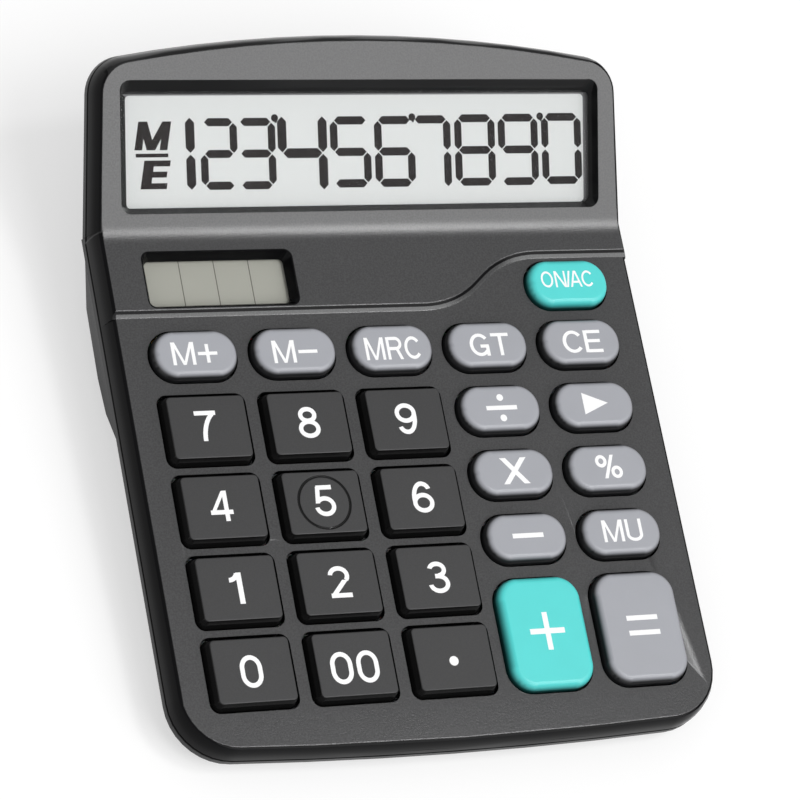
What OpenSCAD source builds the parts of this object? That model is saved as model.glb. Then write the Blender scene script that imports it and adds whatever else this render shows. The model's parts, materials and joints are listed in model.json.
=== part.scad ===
// Desk calculator: a twelve-digit solar and battery desktop model, built up from
// two shells, a membrane keyboard, a circuit board, a tilted display and 26 sprung keys.
// Units are millimetres, +Z is up, the display is at the back (+Y), the user sits at -Y.
// The origin is on the desk, under the middle of the overall footprint.

/* [Body] */
// Overall width
body_w = 120; // [116:1:130]
// Length of the keypad deck, from the crease under the display to the front edge
deck_l = 111.5; // [110.5:0.1:120]
// Length of the display panel, from the crease to the middle of the rear edge
panel_l = 39.7; // [39.2:0.1:46]
// Slope of the keypad deck against the desk, in degrees
deck_tilt = 4.5; // [3:0.5:6]
// Extra slope of the display panel against the deck, in degrees
panel_tilt = 24; // [18:1:28]
// How far the front edge bows out at its middle
front_bow = 1.9; // [0.5:0.1:3]
// How far the rear edge bows out at its middle
rear_bow = 5.7; // [4:0.1:6.4]
// How much each side of the panel draws in towards its rear
panel_taper = 1.2; // [0:0.1:1.6]
// Plan radius of the two front corners
front_corner_r = 12.5; // [10:0.5:16]
// Plan radius of the two rear corners
rear_corner_r = 8; // [6:0.5:10]

/* [Shells] */
// Wall of the top cover
cover_wall = 2; // [1.6:0.1:2.2]
// Wall of the bottom cover
base_wall = 1.6; // [1.4:0.1:1.8]
// Depth of the parting line below the keypad face
parting_drop = 5; // [4.6:0.1:5.2]
// Width of the rounded edge around the upper face
edge_round = 1.6; // [1:0.1:1.8]
// Height of the upright rim under the parting line
rim_h = 1.8; // [1.2:0.1:2]
// Depth of the flat underside below the keypad face
base_drop = 10.6; // [10.4:0.1:12]
// Inward slope of the underside edge, measured in plan
base_slope_w = 4; // [3.6:0.1:4.4]
// Clearance between the shells' locating lip and the wall it fits in
lip_gap = 0.2; // [0.15:0.05:0.3]
// Thickness of the locating lip
lip_t = 0.7; // [0.6:0.1:0.8]

/* [Raised rear deck] */
// Height of the raised area behind the keypad face
step_h = 0.8; // [0.5:0.1:1]
// Plan width of the slope that leads down to the keypad face
step_w = 1.7; // [1.2:0.1:1.9]
// Distance of the slope from the crease on the left
step_left_b = 17.9; // [17.8:0.1:18.4]
// Distance of the slope from the crease on the right
step_right_b = 6.8; // [6.4:0.1:6.9]
// Length of the slope's straight stretch on the right
step_right_run = 22.4; // [20:0.1:26]
// Length of its S-bend across the body
step_bend_run = 27.7; // [23:0.1:31]

/* [Keys] */
// Distance of the middle of the outer key columns from the body's sides
keypad_margin = 16.6; // [16:0.1:16.8]
// Distance of the middle of the last number key row from the front edge
keypad_front_margin = 17.35; // [17.1:0.05:17.9]
// Distance of the first number key row from the crease
number_b0 = 43.15; // [43:0.05:43.4]
// Land between neighbouring number key holes
number_land = 2.5; // [2.3:0.1:3.1]
// Land between the rows of number key holes
number_row_land = 1.35; // [1.2:0.05:2]
// Distance between the tall keys' middle and the last row of oval keys
tall_from_oval = 20.5; // [20.3:0.05:20.9]
// Distance of the first full row of oval keys from the crease
oval_b0 = 27.35; // [27.2:0.05:27.5]
// Distance of the on key from the crease
on_b = 13.9; // [13.8:0.05:14]
// Land between neighbouring oval key holes
oval_land = 2.35; // [2.3:0.05:2.9]
// Land between the rows of oval key holes
oval_row_land = 2.65; // [2.5:0.05:3]
// Land between the tall key holes
tall_land = 2; // [1.9:0.1:2.7]
// Depth of a tall key hole
tall_d = 24.75; // [24:0.05:24.9]
// Distance of the tall keys' middle from the front edge
tall_front_margin = 21.5; // [21.3:0.1:21.7]
// Corner radius of the number key holes
number_r = 2.2; // [1.6:0.1:3]
// Corner radius of the tall key holes
tall_r = 5.5; // [4:0.1:7]
// Gap around a key in its hole
key_gap = 0.45; // [0.35:0.05:0.5]
// Height of the number keys above the keypad face
number_rise = 2.2; // [1.8:0.1:2.6]
// Height of the grey and coloured keys above the keypad face
pill_rise = 2.4; // [1.8:0.1:2.8]
// How far a key goes down when pressed
key_travel = 1.2; // [0.8:0.1:1.3]
// Reach of the ledges that keep a key in its hole
ledge_reach = 0.6; // [0.5:0.05:0.7]
// Thickness of those ledges
ledge_t = 1; // [0.8:0.1:1.1]
// Distance of the ring on the middle number key from that key's hole
ring_margin = 2.275; // [1.8:0.025:3.3]

/* [Display] */
// Distance of the display recess from the body's sides
display_margin = 5.85; // [5.5:0.05:7]
// Distance of the display recess from the middle of the rear edge
display_rear_margin = 9.25; // [9:0.05:9.8]
// Distance of the recess from the crease
display_c0 = 3.35; // [3.2:0.05:3.6]
// Depth of the display recess
display_drop = 2.5; // [2.2:0.1:2.8]
// Inward draft of the recess at its sides
display_side_draft = 1.15; // [0.8:0.05:1.4]
// Inward draft of the recess at its top
display_top_draft = 2.3; // [1.5:0.1:2.6]
// Inward draft of the recess at its bottom
display_low_draft = 1.1; // [0.8:0.1:1.2]
// Thickness of the display window
window_t = 0.8; // [0.6:0.1:1]
// Thickness of the liquid crystal cell
lcd_t = 2.2; // [1.8:0.1:2.4]

/* [Solar panel] */
// Width of the solar recess at the face
solar_w = 32.7; // [30:0.1:33]
// Depth of the solar recess in plan, front to back
solar_d = 11.9; // [11:0.1:12]
// Distance of the solar recess from the body's left side
solar_margin = 9.15; // [8.7:0.05:11.5]
// Middle of the solar recess from the crease
solar_b = 10.7; // [10.4:0.05:10.75]
// Depth of the recess below the raised area
solar_drop = 2.3; // [2.2:0.1:2.4]
// Draft of the solar recess
solar_draft = 1.1; // [0.8:0.1:1.2]
// Thickness of the solar window
solar_window_t = 0.6; // [0.5:0.1:0.8]
// Thickness of the solar cell
solar_cell_t = 1.1; // [0.8:0.1:1.2]

/* [Inside] */
// Thickness of the circuit board
board_t = 1; // [0.8:0.1:1]
// Height of a rubber dome when it is pressed flat
flat_dome_h = 1.2; // [1:0.1:1.4]
// Thickness of the rubber mat's sheet
mat_t = 0.8; // [0.6:0.1:0.9]
// Diameter of a rubber dome at its foot
dome_d = 7.6; // [6:0.2:8.4]
// Diameter of the battery
battery_d = 10.5; // [10:0.1:10.5]
// Length of the battery with its button
battery_l = 44.5; // [44:0.1:45]
// Distance of the battery from the crease
battery_b = 11.5; // [11.4:0.1:12]
// Thickness of the battery door
door_t = 1.5; // [1.2:0.1:1.5]
// Clearance around the battery door
door_gap = 0.2; // [0.15:0.05:0.3]

/* [Feet] */
// Diameter of a rubber foot
foot_d = 8; // [6:0.5:9]
// Height that the feet lift the body off the desk
foot_stand = 1; // [0.8:0.1:1.5]
// Depth of the pockets that the feet are glued in
foot_seat = 0.9; // [0.6:0.1:0.9]
// Distance of the middle of the feet from the body's sides
foot_margin = 15; // [14:1:20]
// Distance of the front feet from the crease
front_foot_b = 97; // [92:1:98]
// Distance of the rear feet from the crease
rear_foot_b = 27; // [26:1:30]

/* [Screws] */
// Diameter of the case screws
case_screw_d = 2.2; // [2:0.1:2.4]
// Diameter of the board screws
board_screw_d = 1.6; // [1.4:0.1:1.7]
// Diameter of the case screw bosses
case_boss_d = 4.2; // [3.8:0.1:4.4]
// Diameter of the board screw bosses
board_boss_d = 3; // [2.8:0.1:3.2]

/* [Hidden] */
$fn = 48;
// a sliver by which cuts run past faces
eps = 0.01;
// clearances between pieces that are fitted by hand
slip = 0.1;
seat = 0.05;
screw_gap = 0.1;
ledge_gap = 0.2;
dome_gap = 0.15;

// lower edge of the rim
rim_low = parting_drop + rim_h;
edge_steps = 4;
corner_steps = 9;
bow_steps = 12;
// how far slabs run past the crease before the mitre trims them
tail = 6;
// size of the blocks that trim at the mitre
trim_block = 200;

// place of the deck frame: its x axis is the crease, its z axis the deck normal
underside_drop = base_drop + foot_stand;
deck_z = front_foot_b * sin(deck_tilt) + underside_drop * cos(deck_tilt);
front_reach = deck_l * cos(deck_tilt) - parting_drop * sin(deck_tilt);
rear_slope = deck_tilt + panel_tilt;
rear_reach = panel_l * cos(rear_slope) + rim_low * sin(rear_slope) - step_h * sin(deck_tilt);
deck_y = (front_reach - rear_reach) / 2;

// what follows the body's width and length
col_pitch = (body_w - 2 * keypad_margin) / 4;
number_w = col_pitch - number_land;
oval_w = col_pitch - oval_land;
tall_w = col_pitch - tall_land;
display_w = body_w - 2 * display_margin;
display_h = panel_l - display_c0 - display_rear_margin;
number_pitch = (deck_l - keypad_front_margin - number_b0) / 3;
number_d = number_pitch - number_row_land;
ring_d = number_d - 2 * ring_margin;
tall_b = deck_l - tall_front_margin;
oval_pitch = (tall_b - tall_from_oval - oval_b0) / 3;
oval_d = oval_pitch - oval_row_land;
solar_x = -body_w / 2 + solar_margin + solar_w / 2;
step_bend_x1 = body_w / 2 - step_right_run;
step_bend_x0 = step_bend_x1 - step_bend_run;
foot_x = body_w / 2 - foot_margin;

// depths below the keypad face
cover_inner = -cover_wall;
ledge_top = cover_inner - ledge_gap;
ledge_low = ledge_top - ledge_t;
board_drop = -ledge_low + key_travel + mat_t + flat_dome_h;
board_top = -board_drop;
board_low = board_top - board_t;
mat_top = board_top + mat_t;
dome_top = ledge_low - dome_gap;
base_floor = -base_drop + base_wall;

// the panel's own depths, below its face
panel_base_drop = 10.4;
panel_base_floor = -panel_base_drop + base_wall;
window_top = -display_drop;
window_low = window_top - window_t;
lcd_top = window_low - seat;
lcd_low = lcd_top - lcd_t;
display_c = display_c0 + display_h / 2;
// the clear floor of the recess
view_w = display_w - 2 * display_side_draft;
view_h = display_h - display_top_draft - display_low_draft;
view_c = display_c + (display_low_draft - display_top_draft) / 2;

// solar parts, below the keypad face
solar_floor = step_h - solar_drop;
solar_window_low = solar_floor - solar_window_t;
solar_cell_top = solar_window_low - seat;

// hump under the rear of the deck, in the deck frame
hump_top_w = body_w - 0.2;
hump_low_w = body_w - 12;
hump_rear_b = 3;
hump_front_b = 38;
// lower edge of its upright sides: [distance from the crease, depth below the rim]
hump_side = [[2.5, 0], [6, 1.4], [12, 3.9], [27, 4.2], [35, 3.2], [42, 0]];

// battery bay, upright on the desk
// gap between battery and contacts, stretch of the spring leaf, sheet of the contacts, room behind them
cell_gap = 0.1;
spring_reach = 4.95;
contact_t = 0.4;
contact_room = 0.25;
bay_x = (battery_l + slip + spring_reach + 2 * cell_gap + contact_t + contact_room) / 2;
bay_half_d = battery_d / 2 + 0.3;
bay_wall = 1.2;
bay_floor_t = 3.1;
door_w = 2 * bay_x + 6;
door_d = 2 * bay_half_d + 3;
door_tongue = 1;
door_tongue_t = 0.6;
door_tongue_z = 0.6;
bay_y = desk_y(battery_b, -base_drop);
battery_x = bay_x - contact_room - contact_t - cell_gap - battery_l / 2;
battery_z = foot_stand + door_t + 0.25 + battery_d / 2;
bay_top_z = battery_z + 0.3;

// screws: [x, distance from the crease] on the deck and on the panel
between_keys = 1.5 * col_pitch;
front_boss_inset = 6.6;
corner_spot_inset = 7.4;
corner_spot_x = body_w / 2 - 13;
rear_boss_x = 14;
rear_boss_inset = 5.6;
rear_spot_b = 20.5;
case_front = [for (s = [-1, 1]) [s * between_keys, deck_l - front_boss_inset]];
case_rear = [for (s = [-1, 1]) [s * rear_boss_x, panel_l - rear_boss_inset]];
board_spots = [[-between_keys, rear_spot_b], [between_keys, rear_spot_b],
    [-corner_spot_x, deck_l - corner_spot_inset], [0, deck_l - front_boss_inset],
    [corner_spot_x, deck_l - corner_spot_inset]];

// keys: [node, column, distance from the crease, kind, colour]
keys = [
    ["key_on_clear", 4, on_b, "oval", "turquoise"],
    ["key_memory_plus", 0, oval_row(0), "oval", "darkgray"],
    ["key_memory_minus", 1, oval_row(0), "oval", "darkgray"],
    ["key_memory_recall", 2, oval_row(0), "oval", "darkgray"],
    ["key_grand_total", 3, oval_row(0), "oval", "darkgray"],
    ["key_clear_entry", 4, oval_row(0), "oval", "darkgray"],
    ["key_divide", 3, oval_row(1), "oval", "darkgray"],
    ["key_backspace", 4, oval_row(1), "oval", "darkgray"],
    ["key_multiply", 3, oval_row(2), "oval", "darkgray"],
    ["key_percent", 4, oval_row(2), "oval", "darkgray"],
    ["key_minus", 3, oval_row(3), "oval", "darkgray"],
    ["key_markup", 4, oval_row(3), "oval", "darkgray"],
    ["key_plus", 3, tall_b, "tall", "turquoise"],
    ["key_equals", 4, tall_b, "tall", "darkgray"],
    ["key_7", 0, number_row(0), "number", "dimgray"],
    ["key_8", 1, number_row(0), "number", "dimgray"],
    ["key_9", 2, number_row(0), "number", "dimgray"],
    ["key_4", 0, number_row(1), "number", "dimgray"],
    ["key_5", 1, number_row(1), "number", "dimgray"],
    ["key_6", 2, number_row(1), "number", "dimgray"],
    ["key_1", 0, number_row(2), "number", "dimgray"],
    ["key_2", 1, number_row(2), "number", "dimgray"],
    ["key_3", 2, number_row(2), "number", "dimgray"],
    ["key_0", 0, number_row(3), "number", "dimgray"],
    ["key_00", 1, number_row(3), "number", "dimgray"],
    ["key_point", 2, number_row(3), "number", "dimgray"],
];

// ---- places ----

function number_row(i) = number_b0 + i * number_pitch;
function oval_row(i) = oval_b0 + i * oval_pitch;
function column_x(i) = (i - 2) * col_pitch;
// the underside's distance below the keypad face where the desk lies foot_stand below it
function level_drop(b) = base_drop + (front_foot_b - b) * tan(deck_tilt);
// desk coordinates of a deck point
function desk_y(b, z) = deck_y - b * cos(deck_tilt) - z * sin(deck_tilt);
function desk_z(b, z) = deck_z - b * sin(deck_tilt) + z * cos(deck_tilt);

module on_deck() {
    translate([0, deck_y, deck_z]) rotate([deck_tilt, 0, 0]) children();
}

module on_panel() {
    on_deck() at_panel() children();
}

// from the deck frame into the panel frame
module at_panel() {
    translate([0, 0, step_h]) rotate([panel_tilt, 0, 0]) children();
}

// the two sides of the mitre plane at the crease, in the deck frame, or a little more than that
module mitre_half(side, over = 0) {
    translate([0, 0, step_h]) rotate([panel_tilt / 2, 0, 0])
        translate([0, side * (trim_block / 2 - over), 0]) cube(trim_block, center = true);
}

// joins a deck shape (first child) and a panel shape (second child) at the mitre
module mitred() {
    intersection() {
        children(0);
        mitre_half(-1);
    }
    intersection() {
        children(1);
        mitre_half(1);
    }
    // what both share close to the mitre, so that they truly run into each other
    intersection() {
        children(0);
        children(1);
        mitre_half(-1, 0.5);
        mitre_half(1, 0.5);
    }
}

// ---- outlines ----

function arc(center, r, a0, a1, steps) =
    [for (i = [0:steps]) let (a = a0 + (a1 - a0) * i / steps) center + r * [cos(a), sin(a)]];

// plan of one half of the body: a side that may draw in, a rounded corner and a bowed end at y = -length
function half_plan(length, bow, corner_r, taper, inset) =
    let (
        half = body_w / 2,
        bow_r = (half * half + bow * bow) / (2 * bow),
        center = [0, bow_r - length],
        slant = atan(taper / length),
        along = [-sin(slant), -cos(slant)],
        inward = [-cos(slant), sin(slant)],
        start = [half, 0],
        // the corner's centre lies where both edges are a corner radius away
        from = start + corner_r * inward - center,
        run = sqrt(pow(from * along, 2) - from * from + pow(bow_r - corner_r, 2)) - from * along,
        corner = start + corner_r * inward + run * along,
        meet = atan2(corner[1] - center[1], corner[0]),
        end_run = (inset * sin(slant) - tail) / cos(slant)
    )
    concat(
        arc(center, bow_r - inset, -90, meet, bow_steps / 2),
        arc(corner, corner_r - inset, meet, -slant, corner_steps),
        [start + inset * inward + end_run * along]);

module end_plan(length, bow, corner_r, taper, inset) {
    right = half_plan(length, bow, corner_r, taper, inset);
    left = [for (i = [len(right) - 1:-1:1]) [-right[i][0], right[i][1]]];
    polygon(concat(right, left));
}

module deck_plan(inset) {
    end_plan(deck_l, front_bow, front_corner_r, 0, inset);
}

module panel_plan(inset) {
    mirror([0, 1, 0]) end_plan(panel_l, rear_bow, rear_corner_r, panel_taper, inset);
}

module rounded_rect(w, d, r) {
    square([w - 2 * r, d], center = true);
    square([w, d - 2 * r], center = true);
    for (x = [-1, 1], y = [-1, 1]) translate([x * (w / 2 - r), y * (d / 2 - r)]) circle(r);
}

module rounded_plate(w, d, r, z0, z1) {
    translate([0, 0, z0]) linear_extrude(z1 - z0) rounded_rect(w, d, r);
}

// a recess whose walls slope in from [w, d] at z = top to a smaller floor
module drafted_recess(w, d, r, top, low, side, back, front) {
    hull() {
        rounded_plate(w, d, r, top, top + eps);
        translate([0, (front - back) / 2, 0])
            rounded_plate(w - 2 * side, d - back - front, r - side / 2, low - eps, low);
    }
}

// ---- shells ----

// the rounded outer side: layers of the plan, stepped in along a quarter ellipse
module slab(plan, top, low) {
    hull() for (i = [0:edge_steps]) {
        turn = 90 * i / edge_steps;
        inset = edge_round * (1 - sin(turn));
        depth = (top - low) * (1 - cos(turn));
        translate([0, 0, top - max(depth, eps)]) linear_extrude(eps) {
            if (plan == "deck") deck_plan(inset);
            else panel_plan(inset);
        }
    }
}

module deck_slab(top) {
    slab("deck", top, -parting_drop);
}

module panel_slab() {
    slab("panel", 0, -parting_drop);
}

// section of the slope down from the raised area; x runs from the back to the front
function step_section(back) = [
    [-back, 0], [-step_w / 2, 0], [-step_w / 4, -step_h * 0.15], [step_w / 4, -step_h * 0.85],
    [step_w / 2, -step_h], [step_w / 2, -step_h - parting_drop - eps], [-back, -step_h - parting_drop - eps]];

// everything that lies behind the S-shaped slope
module raised_area() {
    run = step_bend_x1 - step_bend_x0;
    rise = step_left_b - step_right_b;
    // straight flank between the bends, and how far the bends and the flank run into each other
    flank = 1.5;
    lap = 0.03;
    lap_a = 4;
    flank_r = (run * run + rise * rise) / (4 * rise) - flank * flank / rise;
    bend_r = flank_r + lap;
    bend_a = atan2(run / 2, flank_r - rise / 2) - atan2(flank, flank_r);
    half = body_w / 2 + 1;
    translate([0, 0, step_h]) {
        // straight on the left
        translate([-half, -step_left_b, 0]) rotate([90, 0, 90]) mirror([1, 0, 0])
            linear_extrude(half + step_bend_x0) polygon(step_section(step_left_b + tail));
        // first bend, round a centre behind the slope
        translate([step_bend_x0, bend_r - step_left_b, 0]) rotate([0, 0, -90])
            rotate_extrude(angle = bend_a + lap_a) translate([bend_r, 0]) polygon(step_section(bend_r - 0.5));
        // flank
        translate([(step_bend_x0 + step_bend_x1) / 2, -(step_left_b + step_right_b) / 2, 0])
            rotate([0, 0, bend_a]) translate([-flank, 0, 0]) rotate([90, 0, 90]) mirror([1, 0, 0])
                linear_extrude(2 * flank + 1) polygon(step_section(bend_r - 1));
        // second bend, round a centre in front of it
        translate([step_bend_x1, -step_right_b - bend_r, 0]) rotate([0, 0, 90])
            rotate_extrude(angle = bend_a) translate([bend_r, 0]) mirror([1, 0])
                polygon(step_section(bend_r));
        // straight on the right
        translate([step_bend_x1, -step_right_b, 0]) rotate([90, 0, 90]) mirror([1, 0, 0])
            linear_extrude(half - step_bend_x1) polygon(step_section(step_right_b + tail));
    }
}

// the soft hollow between deck and panel
module crease_fillet() {
    fillet_r = 14;
    half_a = panel_tilt / 2;
    run = fillet_r * tan(half_a);
    half = body_w / 2 - edge_round;
    center = [-run, step_h + fillet_r];
    translate([-half, 0, 0]) rotate([90, 0, 90]) linear_extrude(2 * half)
        polygon(concat([[-run, step_h - 1]],
            arc(center, fillet_r, -90, -90 + panel_tilt, 8),
            [[run, step_h - 1]]));
}

module key_hole(k) {
    translate([column_x(k[1]), -k[2], cover_inner - eps]) {
        if (k[3] == "number") rounded_plate(number_w, number_d, number_r, 0, cover_wall + 1);
        if (k[3] == "oval") rounded_plate(oval_w, oval_d, oval_d / 2 - 0.2, 0, cover_wall + 1);
        if (k[3] == "tall") rounded_plate(tall_w, tall_d, tall_r, 0, cover_wall + 1);
    }
}

module top_cover() {
    boss_low = base_floor + 0.2;
    color([0.16, 0.16, 0.17]) {
        on_deck() difference() {
            union() {
                difference() {
                    union() {
                        intersection() {
                            union() {
                                deck_slab(0);
                                intersection() {
                                    deck_slab(step_h);
                                    raised_area();
                                }
                            }
                            mitre_half(-1);
                        }
                        intersection() {
                            at_panel() panel_slab();
                            mitre_half(1);
                        }
                        crease_fillet();
                    }
                    // hollow of the deck
                    translate([0, 0, -parting_drop - 1]) linear_extrude(parting_drop + 1 - cover_wall)
                        deck_plan(cover_wall);
                    // hollow of the panel
                    at_panel()
                        translate([0, 0, -rim_low - 1]) linear_extrude(rim_low + 1 - cover_wall)
                            panel_plan(cover_wall);
                }
                // thicker rim behind the display recess
                at_panel() translate([0, display_c, 0])
                    rounded_plate(display_w + 4, display_h + 3, 2, -display_drop, -cover_wall + eps);
                for (p = case_front) translate([p[0], -p[1], boss_low])
                    cylinder(d = case_boss_d, h = -boss_low - 1);
                for (p = board_spots) translate([p[0], -p[1], board_top])
                    cylinder(d = board_boss_d, h = board_drop - 1);
                at_panel() for (p = case_rear)
                    translate([p[0], p[1], panel_base_floor + 0.2])
                        cylinder(d = case_boss_d, h = -panel_base_floor - 1.2);
            }
            at_panel() {
                translate([0, display_c, 0])
                    drafted_recess(display_w, display_h, 2.2, eps, -display_drop, display_side_draft,
                        display_top_draft, display_low_draft);
                for (p = case_rear) translate([p[0], p[1], panel_base_floor])
                    cylinder(d = case_screw_d + screw_gap, h = 6);
            }
            // solar recess and the pocket that its window is glued in
            translate([solar_x, -solar_b, 0]) {
                drafted_recess(solar_w, solar_d, 1.6, step_h + eps, solar_floor, solar_draft, solar_draft,
                    solar_draft);
                rounded_plate(solar_w + 2 + slip, solar_d + 1 + slip, 1, cover_inner - 1, solar_floor);
            }
            for (k = keys) key_hole(k);
            for (p = case_front) translate([p[0], -p[1], boss_low - eps])
                cylinder(d = case_screw_d + screw_gap, h = 6);
            for (p = board_spots) translate([p[0], -p[1], board_top - eps])
                cylinder(d = board_screw_d + screw_gap, h = 3.5);
        }
    }
}

// the base without its hollows
module base_body() {
    mitred() {
        hull() {
            translate([0, 0, -rim_low]) linear_extrude(rim_h) deck_plan(0);
            translate([0, 0, -base_drop]) linear_extrude(eps) deck_plan(base_slope_w);
        }
        at_panel() hull() {
            translate([0, 0, -rim_low]) linear_extrude(rim_h) panel_plan(0);
            translate([0, 0, -panel_base_drop]) linear_extrude(eps) panel_plan(base_slope_w);
        }
    }
    // the hump under the rear of the deck: upright sides, a bottom level with the desk
    hull() {
        rotate([90, 0, 90]) linear_extrude(hump_top_w, center = true)
            polygon([for (p = hump_side) [-p[0], -rim_low - p[1]]]);
        rotate([90, 0, 90]) linear_extrude(hump_low_w, center = true) polygon([
            [-hump_rear_b, -rim_low], [-hump_front_b, -rim_low],
            [-hump_front_b, -level_drop(hump_front_b)], [-hump_rear_b, -level_drop(hump_rear_b)]]);
    }
}

// a ring that stands up inside the top cover's wall
module lip(plan) {
    inset = cover_wall + lip_gap;
    translate([0, 0, -rim_low - 0.4]) linear_extrude(rim_low - parting_drop + 1.8) difference() {
        if (plan == "deck") deck_plan(inset);
        else panel_plan(inset);
        if (plan == "deck") deck_plan(inset + lip_t);
        else panel_plan(inset + lip_t);
        // open at the bend
        translate([0, plan == "deck" ? tail - 5 : 5 - tail]) square([body_w, 2 * tail], center = true);
    }
}

// prisms of a plan with the given insets, from the given floors up to one height
module stepped_hollow(insets, floors, top) {
    for (i = [0:len(insets) - 1]) {
        $inset = insets[i];
        translate([0, 0, floors[i]]) linear_extrude(top - floors[i]) children();
    }
}

module base_hollow() {
    // on each side of the mitre, three prisms, each wider one above the sloping edge
    insets = [base_slope_w, base_slope_w - 0.8, cover_wall];
    top = -parting_drop + eps;
    mitred() {
        stepped_hollow(insets, [base_floor, -rim_low - 1.4, -rim_low - 0.2], top) deck_plan($inset);
        at_panel()
            stepped_hollow(insets, [panel_base_floor, -rim_low - 1.2, -rim_low - 0.2], top)
                panel_plan($inset);
    }
    for (p = case_front) translate([p[0], -p[1], base_floor]) cylinder(d = case_boss_d + 0.6, h = 6);
    at_panel() for (p = case_rear)
        translate([p[0], p[1], panel_base_floor]) cylinder(d = case_boss_d + 0.6, h = 6);
    // inside the hump
    rear = hump_rear_b + 2.5;
    front = hump_front_b - 1.5;
    rotate([90, 0, 90]) linear_extrude(hump_low_w - 2 * base_wall, center = true) polygon([
        [-rear, base_floor + 1], [-front - 2, base_floor + 1],
        [-front, -level_drop(front) + base_wall], [-rear, -level_drop(rear) + base_wall]]);
}

// the walls and the thick floor round the battery, upright on the desk
module bay_walls() {
    outer_x = 2 * (bay_x + bay_wall);
    outer_y = 2 * (bay_half_d + bay_wall);
    floor_x = door_w + 2 * (door_tongue + slip + 1.4);
    translate([-outer_x / 2, bay_y - outer_y / 2, foot_stand])
        cube([outer_x, outer_y, bay_top_z - foot_stand]);
    translate([-floor_x / 2, bay_y - door_d / 2 - 2, foot_stand]) cube([floor_x, door_d + 2, bay_floor_t]);
}

module bay_hollow() {
    slot_x = door_w + 2 * door_gap;
    groove_x = door_w + 2 * (door_tongue + door_gap);
    run = 20;
    translate([-bay_x, bay_y - bay_half_d, 0]) cube([2 * bay_x, 2 * bay_half_d, bay_top_z + run]);
    // the door slides in from the rear
    translate([-slot_x / 2, bay_y - door_d / 2 - door_gap, 0])
        cube([slot_x, door_d + run, foot_stand + door_t + slip]);
    translate([-groove_x / 2, bay_y - door_d / 2 - door_gap, foot_stand + door_tongue_z - slip])
        cube([groove_x, door_d + run, door_tongue_t + 2 * slip]);
}

module at_feet() {
    for (x = [-foot_x, foot_x]) {
        translate([x, desk_y(front_foot_b, -base_drop), 0]) children();
        translate([x, desk_y(rear_foot_b, -level_drop(rear_foot_b)), 0]) children();
    }
}

module bottom_cover() {
    color([0.13, 0.13, 0.14]) difference() {
        union() {
            on_deck() {
                difference() {
                    base_body();
                    base_hollow();
                }
                difference() {
                    union() {
                        lip("deck");
                        at_panel()
                            lip("panel");
                    }
                    for (p = case_front) translate([p[0], -p[1], base_floor])
                        cylinder(d = case_boss_d + 0.6, h = 9);
                }
            }
            bay_walls();
        }
        bay_hollow();
        at_feet() cylinder(d = foot_d + 2 * slip, h = foot_stand + foot_seat);
        on_deck() {
            for (p = case_front) translate([p[0], -p[1], -base_drop]) screw_hole();
            at_panel() for (p = case_rear)
                translate([p[0], p[1], -panel_base_drop]) screw_hole();
        }
    }
}

// ---- screws and feet ----

case_head_d = 2 * case_screw_d;
head_h = 0.9;

// bore and counterbore through the base, from the underside up
module screw_hole() {
    translate([0, 0, -1]) cylinder(d = case_head_d + 0.4, h = 1 + head_h + seat);
    translate([0, 0, -1]) cylinder(d = case_screw_d + 0.4, h = base_wall + 2);
}

// a pan head screw that points up, with its head at z = 0 and a cross in the head
module screw(d, head_d, length) {
    difference() {
        union() {
            cylinder(d = head_d, h = head_h);
            cylinder(d = d, h = head_h + length);
        }
        for (turn = [0, 90]) rotate([0, 0, turn]) translate([0, 0, 0.2])
            cube([head_d * 0.65, head_d * 0.16, 0.8], center = true);
    }
}

module case_screws() {
    color("silver") on_deck() {
        for (p = case_front) translate([p[0], -p[1], -base_drop + seat]) screw(case_screw_d, case_head_d, 5.5);
        at_panel() for (p = case_rear)
            translate([p[0], p[1], -panel_base_drop + seat]) screw(case_screw_d, case_head_d, 5.5);
    }
}

module board_screws() {
    color("silver") on_deck() for (p = board_spots) translate([p[0], -p[1], board_low - head_h])
        screw(board_screw_d, 1.9 * board_screw_d, board_t + 3);
}

module rubber_feet() {
    color([0.1, 0.1, 0.1]) at_feet() cylinder(d = foot_d, h = foot_stand + foot_seat - seat);
}

// ---- display ----

lcd_w = view_w + 1.2;
lcd_h = view_h + 2.6;
holder_back_t = 0.8;
reflector_t = 0.2;
holder_low = lcd_low - reflector_t - holder_back_t - 2 * seat;
ribbon_w = 18;
ribbon_gap = 0.95;
ribbon_x0 = -between_keys - board_boss_d / 2 - ribbon_gap - ribbon_w;
ribbon_t = 0.2;

module display_window() {
    color([0.75, 0.8, 0.8, 0.4]) on_panel() translate([0, view_c, 0])
        rounded_plate(view_w + 3, view_h + 2.2, 1, window_low, window_top - seat);
}

module lcd_glass() {
    color([0.8, 0.82, 0.8]) on_panel() translate([0, view_c, 0])
        translate([0, 0, (lcd_top + lcd_low) / 2]) cube([lcd_w, lcd_h, lcd_t], center = true);
}

module lcd_reflector() {
    color("gainsboro") on_panel() translate([0, view_c, lcd_low - seat - reflector_t / 2])
        cube([view_w, view_h, reflector_t], center = true);
}

// tray that clamps window and cell against the rim of the recess
module lcd_holder() {
    color("whitesmoke") on_panel() difference() {
        translate([0, display_c, 0])
            rounded_plate(display_w + 3.2, display_h + 2.4, 3.2, holder_low, window_top - seat);
        translate([0, view_c, 0]) {
            rounded_plate(view_w + 3.3, view_h + 2.5, 1, window_low - seat, 0);
            translate([-lcd_w / 2 - slip, -lcd_h / 2 - slip, holder_low + holder_back_t])
                cube([lcd_w + 2 * slip, lcd_h + 2 * slip, 6]);
        }
        // slot for the ribbon
        translate([ribbon_x0 - 0.3, -1, lcd_low - 0.5]) cube([ribbon_w + 0.6, display_c0 + 2.2, 0.55]);
    }
}

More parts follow.
